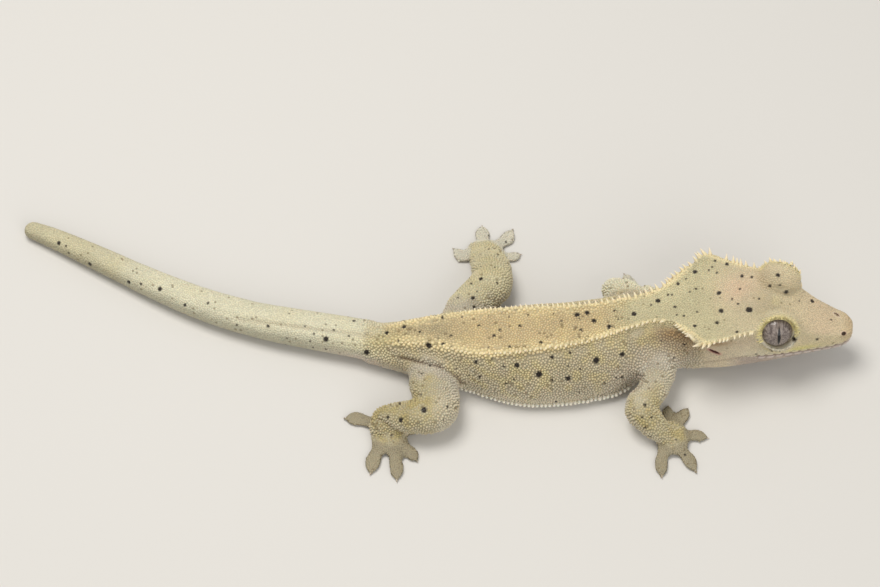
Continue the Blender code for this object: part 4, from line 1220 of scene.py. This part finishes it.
def make_spines(name, surface, spines, spots, coat, bend=0.35, blunt=0.0):
    """A piece of spines from rows of root, way, back, length, radius, root and tip colour."""
    roots, ways, backs, lengths, radii, low, high = spines
    verts = spine_points(roots, unit(ways), backs, lengths, radii, bend, blunt)
    heights = np.repeat([max(height, 0.0) for height, _ in SPINE_RINGS], SPINE_SIDES)
    heights = np.append(heights, 1.0)
    colours = low[:, None] + (high - low)[:, None] * heights[None, :, None]
    if spots:
        colours = add_spots(colours.reshape(-1, 3), verts.reshape(-1, 3), spots).reshape(colours.shape)
    _, faces = surface.snap(roots)
    centre = surface.map_at(roots, faces)
    turns = np.arange(verts.shape[1]) * 2 * math.pi / SPINE_SIDES
    ring = np.stack([np.cos(turns), np.sin(turns)], axis=1) * (1.0 - heights)[:, None]
    patch = centre[:, None] + ring[None] * (MAP_PATCH / 2)
    return copies_piece(name, verts, spine_faces(), colours, patch, coat)


def crest_rows(sign):
    """The crest of one side from rump to brow, in even steps: place, way along and way out."""
    trunk = np.array(TRUNK_ROWS)
    along = np.gradient(trunk[:, :2], axis=0)
    left = unit(np.stack([-along[:, 1], along[:, 0]], axis=1))
    rows = [(*(row[:2] + side * sign * row[3]), row[4]) for row, side in zip(trunk, left)]
    rows += [tuple(skull_to_world(row[0], sign * row[2], row[3])) for row in HEAD_ROWS[:5]]
    fine = smooth_rows(rows, 24)
    ways = unit(np.gradient(fine, axis=0))
    outs = unit(np.cross((0.0, 0.0, 1.0), ways) * sign)
    return fine, ways, outs


def spaced(path, spacings, first, last, rng):
    """Places along a path by x from first to last, apart by spacings given for x."""
    steps = np.linalg.norm(np.diff(path, axis=0), axis=1)
    run = np.concatenate([[0.0], np.cumsum(steps)])
    chosen = []
    here = np.interp(first, path[:, 0], run)
    while here < np.interp(last, path[:, 0], run):
        chosen.append(here)
        x = np.interp(here, run, path[:, 0])
        here += np.interp(x, *spacings) * rng.uniform(0.85, 1.15)
    return np.interp(chosen, run, np.arange(len(path)))


def at_steps(rows, steps):
    """Rows read at fractional steps."""
    places = np.arange(len(rows))
    return np.stack([np.interp(steps, places, rows[:, axis]) for axis in range(rows.shape[1])], axis=1)


def make_crests(surface, spots, coat):
    rng = np.random.default_rng(12)
    parts = []
    for sign in (1, -1):
        path, ways, outs = crest_rows(sign)
        steps = spaced(path, CREST_SPACING, -11.0, 64.4, rng)
        x = at_steps(path, steps)[:, 0]
        if sign > 0:
            steps = steps[(x < CREST_BARE[0]) | (x > CREST_BARE[1])]
        place, way, out = (at_steps(rows, steps) for rows in (path, ways, outs))
        x = place[:, 0]
        aim = out + np.array((0.0, 0.0, 1.0)) * np.interp(x, (-10, 20, 45, 55), (1.0, 0.75, 0.6, 0.4))[:, None]
        roots, _ = surface.snap(place + unit(aim) * 2.0)
        lean = np.interp(x, *CREST_LEAN[sign])
        lengths = np.interp(x, *CREST_LENGTH) * rng.uniform(0.85, 1.15, len(x))
        if sign > 0:
            lengths = lengths * np.interp(x, *CREST_LEFT)
        corner = np.argmax(np.abs(world_to_skull(path)[:, 1]) * (path[:, 0] > 45.0))
        big = np.exp(-((steps - corner) / 9.0) ** 2)
        lengths = lengths * (1.0 + 0.4 * big)
        stand = unit(aim - way * lean[:, None] + rng.normal(0, 0.06, place.shape))
        low = ground_colour(roots, np.tile((0.0, 0.0, 1.0), (len(roots), 1)))
        low = mix(low, CREST, np.full(len(roots), 0.6))
        high = mix(low, CREST_TIP, np.full(len(roots), 0.95))
        parts.append((roots, stand, -way, lengths, 0.31 * lengths ** 0.5 + 0.03, low, high))
    spines = [np.concatenate(group) for group in zip(*parts)]
    make_spines("crest_spines", surface, spines, spots, coat, bend=0.2)


def make_brows(surface, spots, coat):
    """The spiky fringe over each eye."""
    rng = np.random.default_rng(14)
    parts = []
    for sign in (1, -1):
        middle, facing = eye_axis(sign)
        upward = unit(np.array((0.0, 0.0, 1.0)) - facing * facing[2])
        forward = np.cross(upward, facing) * sign
        forward = forward * np.sign(forward[0])
        for out, count, first, last, size in BROW_ROWS:
            angles = np.radians(np.linspace(first, last, count) + rng.uniform(-2.5, 2.5, count))
            rim = np.cos(angles)[:, None] * forward + np.sin(angles)[:, None] * upward
            starts = middle + rim * out + facing * 6.0
            roots = surface.cast(starts, np.tile(-facing, (count, 1)))
            kept = (roots - middle) @ facing > -0.5
            roots, angles, rim = roots[kept] - facing * 0.05, angles[kept], rim[kept]
            count = len(roots)
            rear = 1.0 + 0.6 * bump(np.degrees(angles), 188.0, 26.0)
            rear -= 0.55 * bump(np.degrees(angles), 52.0, 13.0)
            lengths = size * rng.uniform(0.8, 1.2, count) * rear
            stand = unit(rim * 0.95 + facing * 0.35 + rng.normal(0, 0.09, rim.shape))
            low = np.tile(BROW, (count, 1))
            high = mix(low, CREST_TIP, np.full(count, 0.4))
            parts.append((roots, stand, np.tile(-forward, (count, 1)), lengths, 0.22 * lengths ** 0.5 + 0.03,
                          low, high))
    first, last, count, size = BROW_EDGE
    _, upward = camera_axes()
    skull = world_to_skull(surface.points)
    roots = []
    for along in np.linspace(first, last, count) + rng.uniform(-0.12, 0.12, count):
        near = np.flatnonzero((np.abs(skull[:, 0] - along) < 0.25) & (skull[:, 1] > 0))
        roots.append(surface.points[near[np.argmax(surface.points[near] @ upward)]])
    roots = np.array(roots)
    fan = np.linspace(-0.55, 0.55, count)[:, None] * np.array((1.0, 0.0, 0.0))
    stand = unit(upward + fan + rng.normal(0, 0.08, roots.shape))
    lengths = size * rng.uniform(0.8, 1.2, count)
    low = np.tile(CREST, (count, 1))
    high = mix(low, CREST_TIP, np.full(count, 0.9))
    parts.append((roots, stand, np.tile((-1.0, 0.0, 0.0), (count, 1)), lengths, 0.31 * lengths ** 0.5 + 0.03,
                  low, high))
    spines = [np.concatenate(group) for group in zip(*parts)]
    make_spines("brow_fringes", surface, spines, spots, coat, bend=0.15)


def make_belly_fringe(surface, spots, coat):
    rng = np.random.default_rng(16)
    parts = []
    for sign in (1, -1):
        x = np.arange(4.5, 41.0, 0.86)
        x = x + rng.uniform(-0.06, 0.06, len(x))
        y, _, _, _, _, _, belly_w, belly_z = body_at(x)
        out = np.array((0.0, float(sign), -0.12))
        place = np.stack([x, y + sign * (belly_w + 3.0), belly_z + 0.35], axis=1)
        roots = surface.cast(place, np.tile((0.0, -float(sign), 0.0), (len(x), 1)))
        count = len(x)
        size = np.interp(x, (4.0, 9.0, 30.0, 40.0), (0.40, 0.55, 0.58, 0.54)) * rng.uniform(0.9, 1.1, count)
        low = np.tile(FRINGE * 0.85, (count, 1))
        high = np.tile(FRINGE, (count, 1))
        parts.append((roots, np.tile(out, (count, 1)), np.tile((-1.0, 0.0, 0.0), (count, 1)), size,
                      np.full(count, 0.42), low, high))
    spur = surface.seen_from_camera(SPUR)
    y, _, _, _, _, _, _, _ = body_at(spur[:, 0])
    for sign in (1, -1):
        place = spur if sign < 0 else np.stack([spur[:, 0], 2 * y - spur[:, 1], spur[:, 2]], axis=1)
        roots, _ = surface.snap(place)
        count = len(roots)
        out = np.tile((-0.75, 0.6 * sign, 0.1), (count, 1))
        parts.append((roots, out, np.tile((0.0, 0.0, -1.0), (count, 1)), np.full(count, 0.62),
                      np.full(count, 0.34), np.tile(FRINGE * 0.9, (count, 1)), np.tile(FRINGE, (count, 1))))
    spines = [np.concatenate(group) for group in zip(*parts)]
    make_spines("belly_fringes", surface, spines, spots, coat, bend=0.1, blunt=1.0)


def make_claws(surface, spots, horn):
    rows = []
    for toes in TOE_ROWS.values():
        for root_x, root_y, pad_x, pad_y, tip_x, tip_y, _ in toes:
            tip = np.array((tip_x, tip_y, 0.42))
            way = unit(tip - np.array((pad_x, pad_y, 0.42)))
            rows.append((tip - way * 0.8, unit(way + np.array((0.0, 0.0, 0.25)))))
    roots = np.array([row[0] for row in rows])
    ways = np.array([row[1] for row in rows])
    count = len(rows)
    down = np.tile((0.0, 0.0, -1.0), (count, 1))
    spines = (roots, ways, down, np.full(count, 0.7), np.full(count, 0.18),
              np.tile(CLAW_ROOT, (count, 1)), np.tile(CLAW_TIP, (count, 1)))
    make_spines("claws", surface, spines, None, horn, bend=0.35)


# Lips, nostrils, ears and the rims of the eyes

def lip_curve(surface, height):
    """Places round the snout at a height above the mouth line, from one corner to the other."""
    angles = np.radians(np.linspace(-158.0, 158.0, 400))
    centre = np.array((24.0, 0.0))
    ways = np.stack([np.cos(angles), np.sin(angles)], axis=1)
    line = np.array(MOUTH_LINE)
    level = np.full(len(angles), 7.4)
    for turn in range(2):
        flat = centre + ways * 40.0
        starts = skull_to_world(flat[:, 0], flat[:, 1], level + height)
        turned = skull_to_world(centre[0], centre[1], level + height) - starts
        hits = surface.cast(starts, unit(turned))
        level = np.interp(world_to_skull(hits)[:, 0], line[:, 0], line[:, 1])
    return hits


def make_lips(surface, coat):
    """The plates along the upper and the lower lip."""
    rows, columns = 4, 6
    verts, colours, centres = [], [], []
    for low, high, counts, tone in LIP_ROWS:
        heights = np.linspace(low, high, rows)
        curves = [lip_curve(surface, height) for height in heights]
        run = np.concatenate([[0.0], np.cumsum(np.linalg.norm(np.diff(curves[0], axis=0), axis=1))])
        skull = world_to_skull(curves[0])
        inside = run[skull[:, 0] > 12.9]
        first, last, middle = inside[0], inside[-1], np.interp(0.0, skull[:, 1], run)
        edges = [middle + LIP_FRONT * sign / 2 for sign in (-1, 1)]
        stops = np.linspace(0.0, 1.0, counts + 1) ** 0.93
        right = edges[0] + (first - edges[0]) * stops
        left = edges[1] + (last - edges[1]) * stops
        spans = [tuple(edges)] + list(zip(right[1:], right[:-1])) + list(zip(left[:-1], left[1:]))
        for start, end in spans:
            steps = np.interp(np.linspace(start + 0.05, end - 0.05, columns), run, np.arange(len(run)))
            grid = np.stack([at_steps(curve, steps) for curve in curves])
            flat = grid.reshape(-1, 3)
            places, faces = surface.snap(flat)
            normals = surface.normals_at(places, faces)
            across = np.minimum(np.arange(columns), np.arange(columns)[::-1])
            upward = np.minimum(np.arange(rows), np.arange(rows)[::-1])
            edge = np.minimum(across[None, :], upward[:, None]).ravel()
            lift = np.where(edge == 0, -0.07, 0.13)
            lift = lift + 0.03 * (across[None, :].repeat(rows, 0).ravel() > 1)
            verts.append(flat + normals * lift[:, None])
            colour = ground_colour(places, normals)
            colour = mix(colour, tone, np.full(len(colour), 0.5))
            # Painted shade on each plate's sunken edge and a little painted light on its middle
            colour = colour * np.where(edge == 0, 0.62, 1.04)[:, None]
            if low < 0:
                colour[-columns:] = mix(colour[-columns:], MOUTH_DARK, np.full(columns, 0.85))
            colours.append(colour)
            centres.append(surface.map_at(places, faces).mean(0))
    cell = np.arange(rows * columns).reshape(rows, columns)
    faces = np.stack([cell[:-1, :-1], cell[:-1, 1:], cell[1:, 1:], cell[1:, :-1]], axis=-1).reshape(-1, 4)
    spread = np.stack(np.meshgrid(np.linspace(-1, 1, columns), np.linspace(-1, 1, rows)), axis=-1)
    patch = np.array(centres)[:, None] + spread.reshape(1, -1, 2) * (MAP_PATCH / 2)
    copies_piece("lip_plates", np.array(verts), (faces,), np.array(colours), patch, coat)


def collar_faces(rings, around):
    here = np.arange(around)
    there = (here + 1) % around
    quads = [np.stack([here + k * around, there + k * around, there + (k + 1) * around,
                       here + (k + 1) * around], axis=1) for k in range(rings - 1)]
    return np.concatenate(quads), (here + (rings - 1) * around)[None]


def collar(surface, middle, normal, way, half_length, half_width, profile):
    """Rings round an opening that start on the skin, rise to a rim and sink into a hole painted dark as its shade.
    """
    way = unit(way - normal * (way @ normal))
    across = np.cross(normal, way)
    turns = np.arange(COLLAR_SIDES) * 2 * math.pi / COLLAR_SIDES
    oval = np.cos(turns)[:, None] * way * half_length + np.sin(turns)[:, None] * across * half_width
    rings, colours = [], []
    for size, lift, colour in profile:
        ring = middle + oval * size + normal * lift
        if size > 1.2:
            ring, _ = surface.snap(middle + oval * size + normal * 0.3)
            ring = ring + normal * lift
        rings.append(ring)
        ground = ground_colour(ring, np.tile(normal, (len(ring), 1)))
        share = 0.0 if colour is None else 1.0
        colours.append(mix(ground, (0, 0, 0) if colour is None else colour, np.full(len(ring), share)))
    return np.concatenate(rings), np.concatenate(colours)


def make_openings(surface, smooth, coat):
    """Nostrils and ears."""
    verts, colours, centres = [], [], []
    for sign in (1, -1):
        spot = skull_to_world(*NOSTRIL[sign])[None]
        place, face = smooth.snap(spot)
        normal = smooth.normals_at(place, face)[0]
        _, upward = camera_axes()
        way = NOSTRIL_WAY[sign][0] * np.array((1.0, 0.0, 0.0)) + NOSTRIL_WAY[sign][1] * upward
        made = collar(surface, place[0], normal, way, *NOSTRIL_SIZE[sign], NOSTRIL_PROFILE)
        ear = smooth.seen_from_camera(EAR)
        if sign > 0:
            ear = mirrored(ear)
        middle = ear.mean(0)[None]
        place, face = smooth.snap(middle)
        normal = smooth.normals_at(place, face)[0]
        other = collar(surface, place[0], normal, ear[1] - ear[0], 1.3, 0.36, EAR_PROFILE)
        for points, tones in (made, other):
            verts.append(points)
            colours.append(tones)
            _, face = surface.snap(points[:1])
            centres.append(surface.map_at(points[:1], face)[0])
    faces = collar_faces(len(NOSTRIL_PROFILE), COLLAR_SIDES)
    turns = np.arange(verts[0].shape[0]) * 2 * math.pi / COLLAR_SIDES
    ring = np.stack([np.cos(turns), np.sin(turns)], axis=1)
    ring = ring * np.repeat(np.linspace(1.0, 0.1, len(NOSTRIL_PROFILE)), COLLAR_SIDES)[:, None]
    patch = np.array(centres)[:, None] + ring[None] * (MAP_PATCH / 2)
    copies_piece("openings", np.array(verts), faces, np.array(colours), patch, coat)


def make_eye_rims(surface, coat):
    """The thin rim of each lidless eye, from the eyeball out to the skin."""
    around = 96
    verts, colours, centres = [], [], []
    for sign in (1, -1):
        middle, facing = eye_axis(sign)
        upward = unit(np.array((0.0, 0.0, 1.0)) - facing * facing[2])
        forward = np.cross(upward, facing)
        turns = np.arange(around) * 2 * math.pi / around
        rim = np.cos(turns)[:, None] * forward + np.sin(turns)[:, None] * upward
        starts = middle + rim * RIM_OUT + facing * 6.0
        skin = surface.cast(starts, np.tile(-facing, (around, 1)))
        high = (skin - middle) @ facing
        rings, tones = [], []
        upper = step(-0.1, 0.35, np.sin(turns))
        for share, lift, dark, pale in RIM_PROFILE:
            out = EYE_OPENING + (RIM_OUT - EYE_OPENING) * share
            ball = math.sqrt(max(EYE_RADIUS ** 2 - min(out, EYE_RADIUS - 0.01) ** 2, 0.0))
            along = ball + (high - ball) * step(0.0, 1.0, share) + lift
            ring = middle + rim * out + along[:, None] * facing
            rings.append(ring)
            tone = ground_colour(ring, np.tile(facing, (around, 1)))
            tone = mix(tone, RIM_PALE, pale * (1.0 - upper))
            tone = mix(tone, BROW, 0.85 * upper * (1.0 - dark))
            tones.append(mix(tone, RIM_LINE_AND_SOCKET_SHADE, dark * (0.55 + 0.45 * upper)))
        verts.append(np.concatenate(rings))
        colours.append(np.concatenate(tones))
        _, faces = surface.snap(skin[:1])
        centres.append(surface.map_at(skin[:1], faces)[0])
    quads, _ = collar_faces(len(RIM_PROFILE), around)
    turns = np.arange(verts[0].shape[0]) * 2 * math.pi / around
    ring = np.stack([np.cos(turns), np.sin(turns)], axis=1)
    ring = ring * np.repeat(np.linspace(0.3, 1.0, len(RIM_PROFILE)), around)[:, None]
    patch = np.array(centres)[:, None] + ring[None] * (MAP_PATCH / 2)
    copies_piece("eye_rims", np.array(verts), (quads,), np.array(colours), patch, coat)


# Eyes

def make_eye(sign, coat):
    """An eyeball, each point with its place as seen from in front, for the iris and pupil."""
    middle, facing = eye_axis(sign)
    upward = unit(np.array((0.0, 0.0, 1.0)) - facing * facing[2])
    sideways = np.cross(upward, facing)
    down = np.linspace(0.0, math.pi, EYE_RINGS + 1)[1:-1]
    turns = np.arange(EYE_SIDES) * 2 * math.pi / EYE_SIDES
    local = [(0.0, 0.0, 1.0)]
    for angle in down:
        for turn in turns:
            local.append((math.sin(angle) * math.cos(turn), math.sin(angle) * math.sin(turn), math.cos(angle)))
    local.append((0.0, 0.0, -1.0))
    local = np.array(local)
    axes = np.stack([sideways, upward, facing])
    points = middle + (local * EYE_RADIUS) @ axes
    here = np.arange(EYE_SIDES)
    there = (here + 1) % EYE_SIDES
    rings = len(down)
    quads = [np.stack([here + k * EYE_SIDES, here + (k + 1) * EYE_SIDES, there + (k + 1) * EYE_SIDES,
                       there + k * EYE_SIDES], axis=1) + 1 for k in range(rings - 1)]
    front = np.stack([np.zeros(EYE_SIDES, int), here + 1, there + 1], axis=1)
    last = 1 + (rings - 1) * EYE_SIDES
    back = np.stack([np.full(EYE_SIDES, len(local) - 1), there + last, here + last], axis=1)
    mesh = new_mesh("eye", points, [np.concatenate(quads), front, back])
    layer = mesh.attributes.new("eye_place", "FLOAT_VECTOR", "POINT")
    layer.data.foreach_set("vector", local.astype(np.float32).ravel())
    name = "eyeball_left" if sign > 0 else "eyeball_right"
    eye = new_piece(name, mesh, coat)
    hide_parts("eye_left" if sign > 0 else "eye_right")


# Materials

def skin_material(name, roughness, relief, relief_size):
    """Living skin: the marking colours with their painted light and shade, a little light under the surface, fine
    relief and sheen.
    """
    made = bpy.data.materials.new(name)
    made.use_nodes = True
    nodes, links = made.node_tree.nodes, made.node_tree.links
    shader = nodes["Principled BSDF"]
    markings_and_painted_shading = nodes.new("ShaderNodeAttribute")
    markings_and_painted_shading.attribute_name = "markings_and_painted_shading"
    grain = nodes.new("ShaderNodeTexNoise")
    grain.inputs["Scale"].default_value = 1.0 / (relief_size * MM)
    grain.inputs["Detail"].default_value = 3.0
    place = nodes.new("ShaderNodeTexCoord")
    links.new(place.outputs["Object"], grain.inputs["Vector"])
    tone = nodes.new("ShaderNodeMapRange")
    tone.inputs["From Min"].default_value = 0.3
    tone.inputs["From Max"].default_value = 0.7
    tone.inputs["To Min"].default_value = 0.90
    tone.inputs["To Max"].default_value = 1.08
    links.new(grain.outputs["Fac"], tone.inputs["Value"])
    colour = nodes.new("ShaderNodeVectorMath")
    colour.operation = "SCALE"
    links.new(markings_and_painted_shading.outputs["Color"], colour.inputs[0])
    links.new(tone.outputs["Result"], colour.inputs["Scale"])
    links.new(colour.outputs["Vector"], shader.inputs["Base Color"])
    wear = nodes.new("ShaderNodeMapRange")
    wear.inputs["From Min"].default_value = 0.3
    wear.inputs["From Max"].default_value = 0.7
    wear.inputs["To Min"].default_value = roughness - 0.08
    wear.inputs["To Max"].default_value = roughness + 0.08
    links.new(grain.outputs["Fac"], wear.inputs["Value"])
    links.new(wear.outputs["Result"], shader.inputs["Roughness"])
    raised = nodes.new("ShaderNodeBump")
    raised.inputs["Strength"].default_value = relief
    raised.inputs["Distance"].default_value = 0.05 * MM
    links.new(grain.outputs["Fac"], raised.inputs["Height"])
    links.new(raised.outputs["Normal"], shader.inputs["Normal"])
    shader.inputs["Subsurface Weight"].default_value = 0.12
    shader.inputs["Subsurface Radius"].default_value = (1.0, 0.55, 0.35)
    shader.inputs["Subsurface Scale"].default_value = 0.6 * MM
    shader.inputs["Specular IOR Level"].default_value = 0.4
    return made


def node(tree, kind, **values):
    made = tree.nodes.new(kind)
    for key, value in values.items():
        setattr(made, key, value)
    return made


def math_node(tree, operation, one, two=None):
    """A sum over node outputs or plain numbers, giving its output."""
    made = node(tree, "ShaderNodeMath", operation=operation)
    for socket, value in zip(made.inputs, (one, two)):
        if value is None:
            continue
        if isinstance(value, (int, float)):
            socket.default_value = value
        else:
            tree.links.new(value, socket)
    return made.outputs["Value"]


def ramp_node(tree, value, low, high, low_out, high_out):
    made = node(tree, "ShaderNodeMapRange", interpolation_type="SMOOTHSTEP")
    tree.links.new(value, made.inputs["Value"])
    made.inputs["From Min"].default_value = low
    made.inputs["From Max"].default_value = high
    made.inputs["To Min"].default_value = low_out
    made.inputs["To Max"].default_value = high_out
    return made.outputs["Result"]


def mix_colours(tree, share, one, two):
    made = node(tree, "ShaderNodeMix", data_type="RGBA")
    tree.links.new(share, made.inputs["Factor"])
    for socket, value in ((made.inputs["A"], one), (made.inputs["B"], two)):
        if isinstance(value, (tuple, np.ndarray)):
            socket.default_value = (*value, 1.0)
        else:
            tree.links.new(value, socket)
    return made.outputs["Result"]


def eye_material():
    """A silver iris with fine veins, a wavy upright slit, a dark edge and a wet coat."""
    made = bpy.data.materials.new("gecko_eye")
    made.use_nodes = True
    tree = made.node_tree
    shader = tree.nodes["Principled BSDF"]
    place = node(tree, "ShaderNodeAttribute", attribute_name="eye_place")
    parts = node(tree, "ShaderNodeSeparateXYZ")
    tree.links.new(place.outputs["Vector"], parts.inputs["Vector"])
    across, upward, facing = (parts.outputs[axis] for axis in "XYZ")

    wave = node(tree, "ShaderNodeTexNoise", noise_dimensions="1D")
    wave.inputs["Scale"].default_value = 7.0
    wave.inputs["Detail"].default_value = 1.0
    tree.links.new(upward, wave.inputs["W"])
    ripple = math_node(tree, "MULTIPLY", math_node(tree, "SUBTRACT", wave.outputs["Fac"], 0.5), 0.05)
    aside = math_node(tree, "ABSOLUTE", math_node(tree, "ADD", across, ripple))
    reach = math_node(tree, "DIVIDE", upward, PUPIL_HALF_LENGTH)
    width = math_node(tree, "SUBTRACT", 1.0, math_node(tree, "MULTIPLY", reach, reach))
    width = math_node(tree, "MULTIPLY", math_node(tree, "MAXIMUM", width, -1.0), PUPIL_HALF_WIDTH)
    edge = math_node(tree, "SUBTRACT", aside, width)
    pupil = ramp_node(tree, edge, -0.004, 0.012, 1.0, 0.0)

    turn = math_node(tree, "ARCTAN2", upward, across)
    out = math_node(tree, "SQRT", math_node(tree, "ADD", math_node(tree, "MULTIPLY", across, across),
                                            math_node(tree, "MULTIPLY", upward, upward)))
    fibre_place = node(tree, "ShaderNodeCombineXYZ")
    tree.links.new(math_node(tree, "MULTIPLY", turn, 2.2), fibre_place.inputs["X"])
    tree.links.new(math_node(tree, "MULTIPLY", edge, 3.0), fibre_place.inputs["Y"])
    fibres = node(tree, "ShaderNodeTexNoise")
    fibres.inputs["Scale"].default_value = 2.0
    fibres.inputs["Detail"].default_value = 6.0
    fibres.inputs["Roughness"].default_value = 0.62
    fibres.inputs["Distortion"].default_value = 0.7
    tree.links.new(fibre_place.outputs["Vector"], fibres.inputs["Vector"])
    net = node(tree, "ShaderNodeTexVoronoi", feature="DISTANCE_TO_EDGE")
    net.inputs["Scale"].default_value = 7.0
    bent = node(tree, "ShaderNodeTexNoise")
    bent.inputs["Scale"].default_value = 5.0
    bent.inputs["Detail"].default_value = 3.0
    tree.links.new(place.outputs["Vector"], bent.inputs["Vector"])
    shifted = node(tree, "ShaderNodeVectorMath", operation="MULTIPLY_ADD")
    tree.links.new(bent.outputs["Color"], shifted.inputs[0])
    shifted.inputs[1].default_value = (0.35, 0.35, 0.35)
    tree.links.new(place.outputs["Vector"], shifted.inputs[2])
    tree.links.new(shifted.outputs["Vector"], net.inputs["Vector"])
    vein = ramp_node(tree, net.outputs["Distance"], 0.01, 0.06, 0.42, 0.0)
    tone = ramp_node(tree, fibres.outputs["Fac"], 0.34, 0.66, 0.0, 1.0)
    iris = mix_colours(tree, tone, IRIS_DARK, IRIS_PALE)
    iris = mix_colours(tree, vein, iris, IRIS_VEIN)
    halo = ramp_node(tree, edge, 0.03, 0.20, 0.35, 0.0)
    iris = mix_colours(tree, halo, iris, IRIS_HALO)
    limbus = ramp_node(tree, out, 0.80, 0.95, 0.0, 0.5)
    iris = mix_colours(tree, limbus, iris, IRIS_EDGE)
    whole = mix_colours(tree, pupil, iris, PUPIL_DARK)
    tree.links.new(whole, shader.inputs["Base Color"])
    relief = node(tree, "ShaderNodeBump")
    relief.inputs["Strength"].default_value = 0.25
    relief.inputs["Distance"].default_value = 0.03 * MM
    tree.links.new(fibres.outputs["Fac"], relief.inputs["Height"])
    tree.links.new(relief.outputs["Normal"], shader.inputs["Normal"])
    shader.inputs["Roughness"].default_value = 0.38
    shader.inputs["Specular IOR Level"].default_value = 0.1
    shader.inputs["Coat Weight"].default_value = 1.0
    shader.inputs["Coat Roughness"].default_value = 0.03
    shader.inputs["Coat IOR"].default_value = 1.38
    return made


def horn_material():
    made = skin_material("claw_horn", 0.3, 0.2, 0.15)
    shader = made.node_tree.nodes["Principled BSDF"]
    shader.inputs["Coat Weight"].default_value = 0.3
    return made


# Floor, light and camera

def make_camera():
    data = bpy.data.cameras.new("camera")
    data.lens = LENS
    data.sensor_width = SENSOR
    data.clip_start = 0.01
    camera = bpy.data.objects.new("camera", data)
    forward, up = camera_axes()
    right = np.cross(forward, up)
    spot = (-forward * VIEW_DISTANCE - BOX_MIDDLE) * MM
    turn = Matrix((right, up, -forward)).transposed().to_4x4()
    camera.matrix_world = Matrix.Translation(Vector(spot)) @ turn
    bpy.context.scene.collection.objects.link(camera)
    bpy.context.scene.camera = camera


def make_floor():
    mesh = bpy.data.meshes.new("floor")
    half = 3.0
    mesh.from_pydata([(-half, -half, 0), (half, -half, 0), (half, half, 0), (-half, half, 0)], [], [(0, 1, 2, 3)])
    floor = bpy.data.objects.new("floor", mesh)
    mesh.materials.append(plain_material("pale_floor", (214, 211, 205), 0.75))
    bpy.context.scene.collection.objects.link(floor)


def area_light(name, spot, aim, size, power, colour):
    data = bpy.data.lights.new(name, "AREA")
    data.shape = "SQUARE"
    data.size = size
    data.energy = power
    data.color = colour
    light = bpy.data.objects.new(name, data)
    light.location = spot
    light.rotation_euler = (Vector(aim) - Vector(spot)).to_track_quat("-Z", "Y").to_euler()
    bpy.context.scene.collection.objects.link(light)


def make_lights():
    area_light("key", (-0.15, 0.12, 0.62), (0.02, 0.0, 0.0), 0.34, 2.85, (1.0, 0.98, 0.95))
    area_light("fill", (0.30, -0.60, 0.40), (0.0, 0.0, 0.0), 0.60, 2.1, (1.0, 0.99, 0.97))
    world = bpy.data.worlds.new("studio")
    world.use_nodes = True
    world.node_tree.nodes["Background"].inputs["Color"].default_value = (1.0, 1.0, 1.0, 1.0)
    world.node_tree.nodes["Background"].inputs["Strength"].default_value = 0.43
    bpy.context.scene.world = world
    bpy.context.scene.view_settings.view_transform = "Standard"


# The animal

def build():
    make_camera()
    make_floor()
    make_lights()
    points, quads = skin_shape()
    smooth = Surface(points, quads, None)
    points = sculpt(smooth)
    skin = new_piece("skin", new_mesh("skin", points, [quads]), skin_material("gecko_skin", 0.5, 0.5, 0.25))
    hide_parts(*FLESH)
    surface = Surface(points, quads, unwrap(skin))
    spots = spot_places(surface)
    # Painted shade: the skin seen in the gaps between the scales is darkened, less on the head, the tail and the
    # upward faces
    head = step(50.0, 56.0, points[:, 0])
    tail = step(14.0, 20.0, -points[:, 0])
    less_gap_shade = np.maximum(np.maximum(head, tail), 0.5 * step(0.6, 0.95, surface.normals[:, 2]))
    colour = ground_colour(points, surface.normals) * (0.64 + 0.18 * less_gap_shade)[:, None]
    set_colour(skin.data, add_spots(colour, points, spots))
    coat = skin_material("gecko_scales", 0.45, 0.4, 0.2)
    make_scales(surface, skin, spots, coat)
    make_crests(surface, spots, coat)
    make_brows(surface, spots, coat)
    make_belly_fringe(surface, spots, coat)
    make_claws(surface, spots, horn_material())
    make_lips(surface, coat)
    make_openings(surface, smooth, coat)
    make_eye_rims(surface, coat)
    eye = eye_material()
    for sign in (1, -1):
        make_eye(sign, eye)


build()
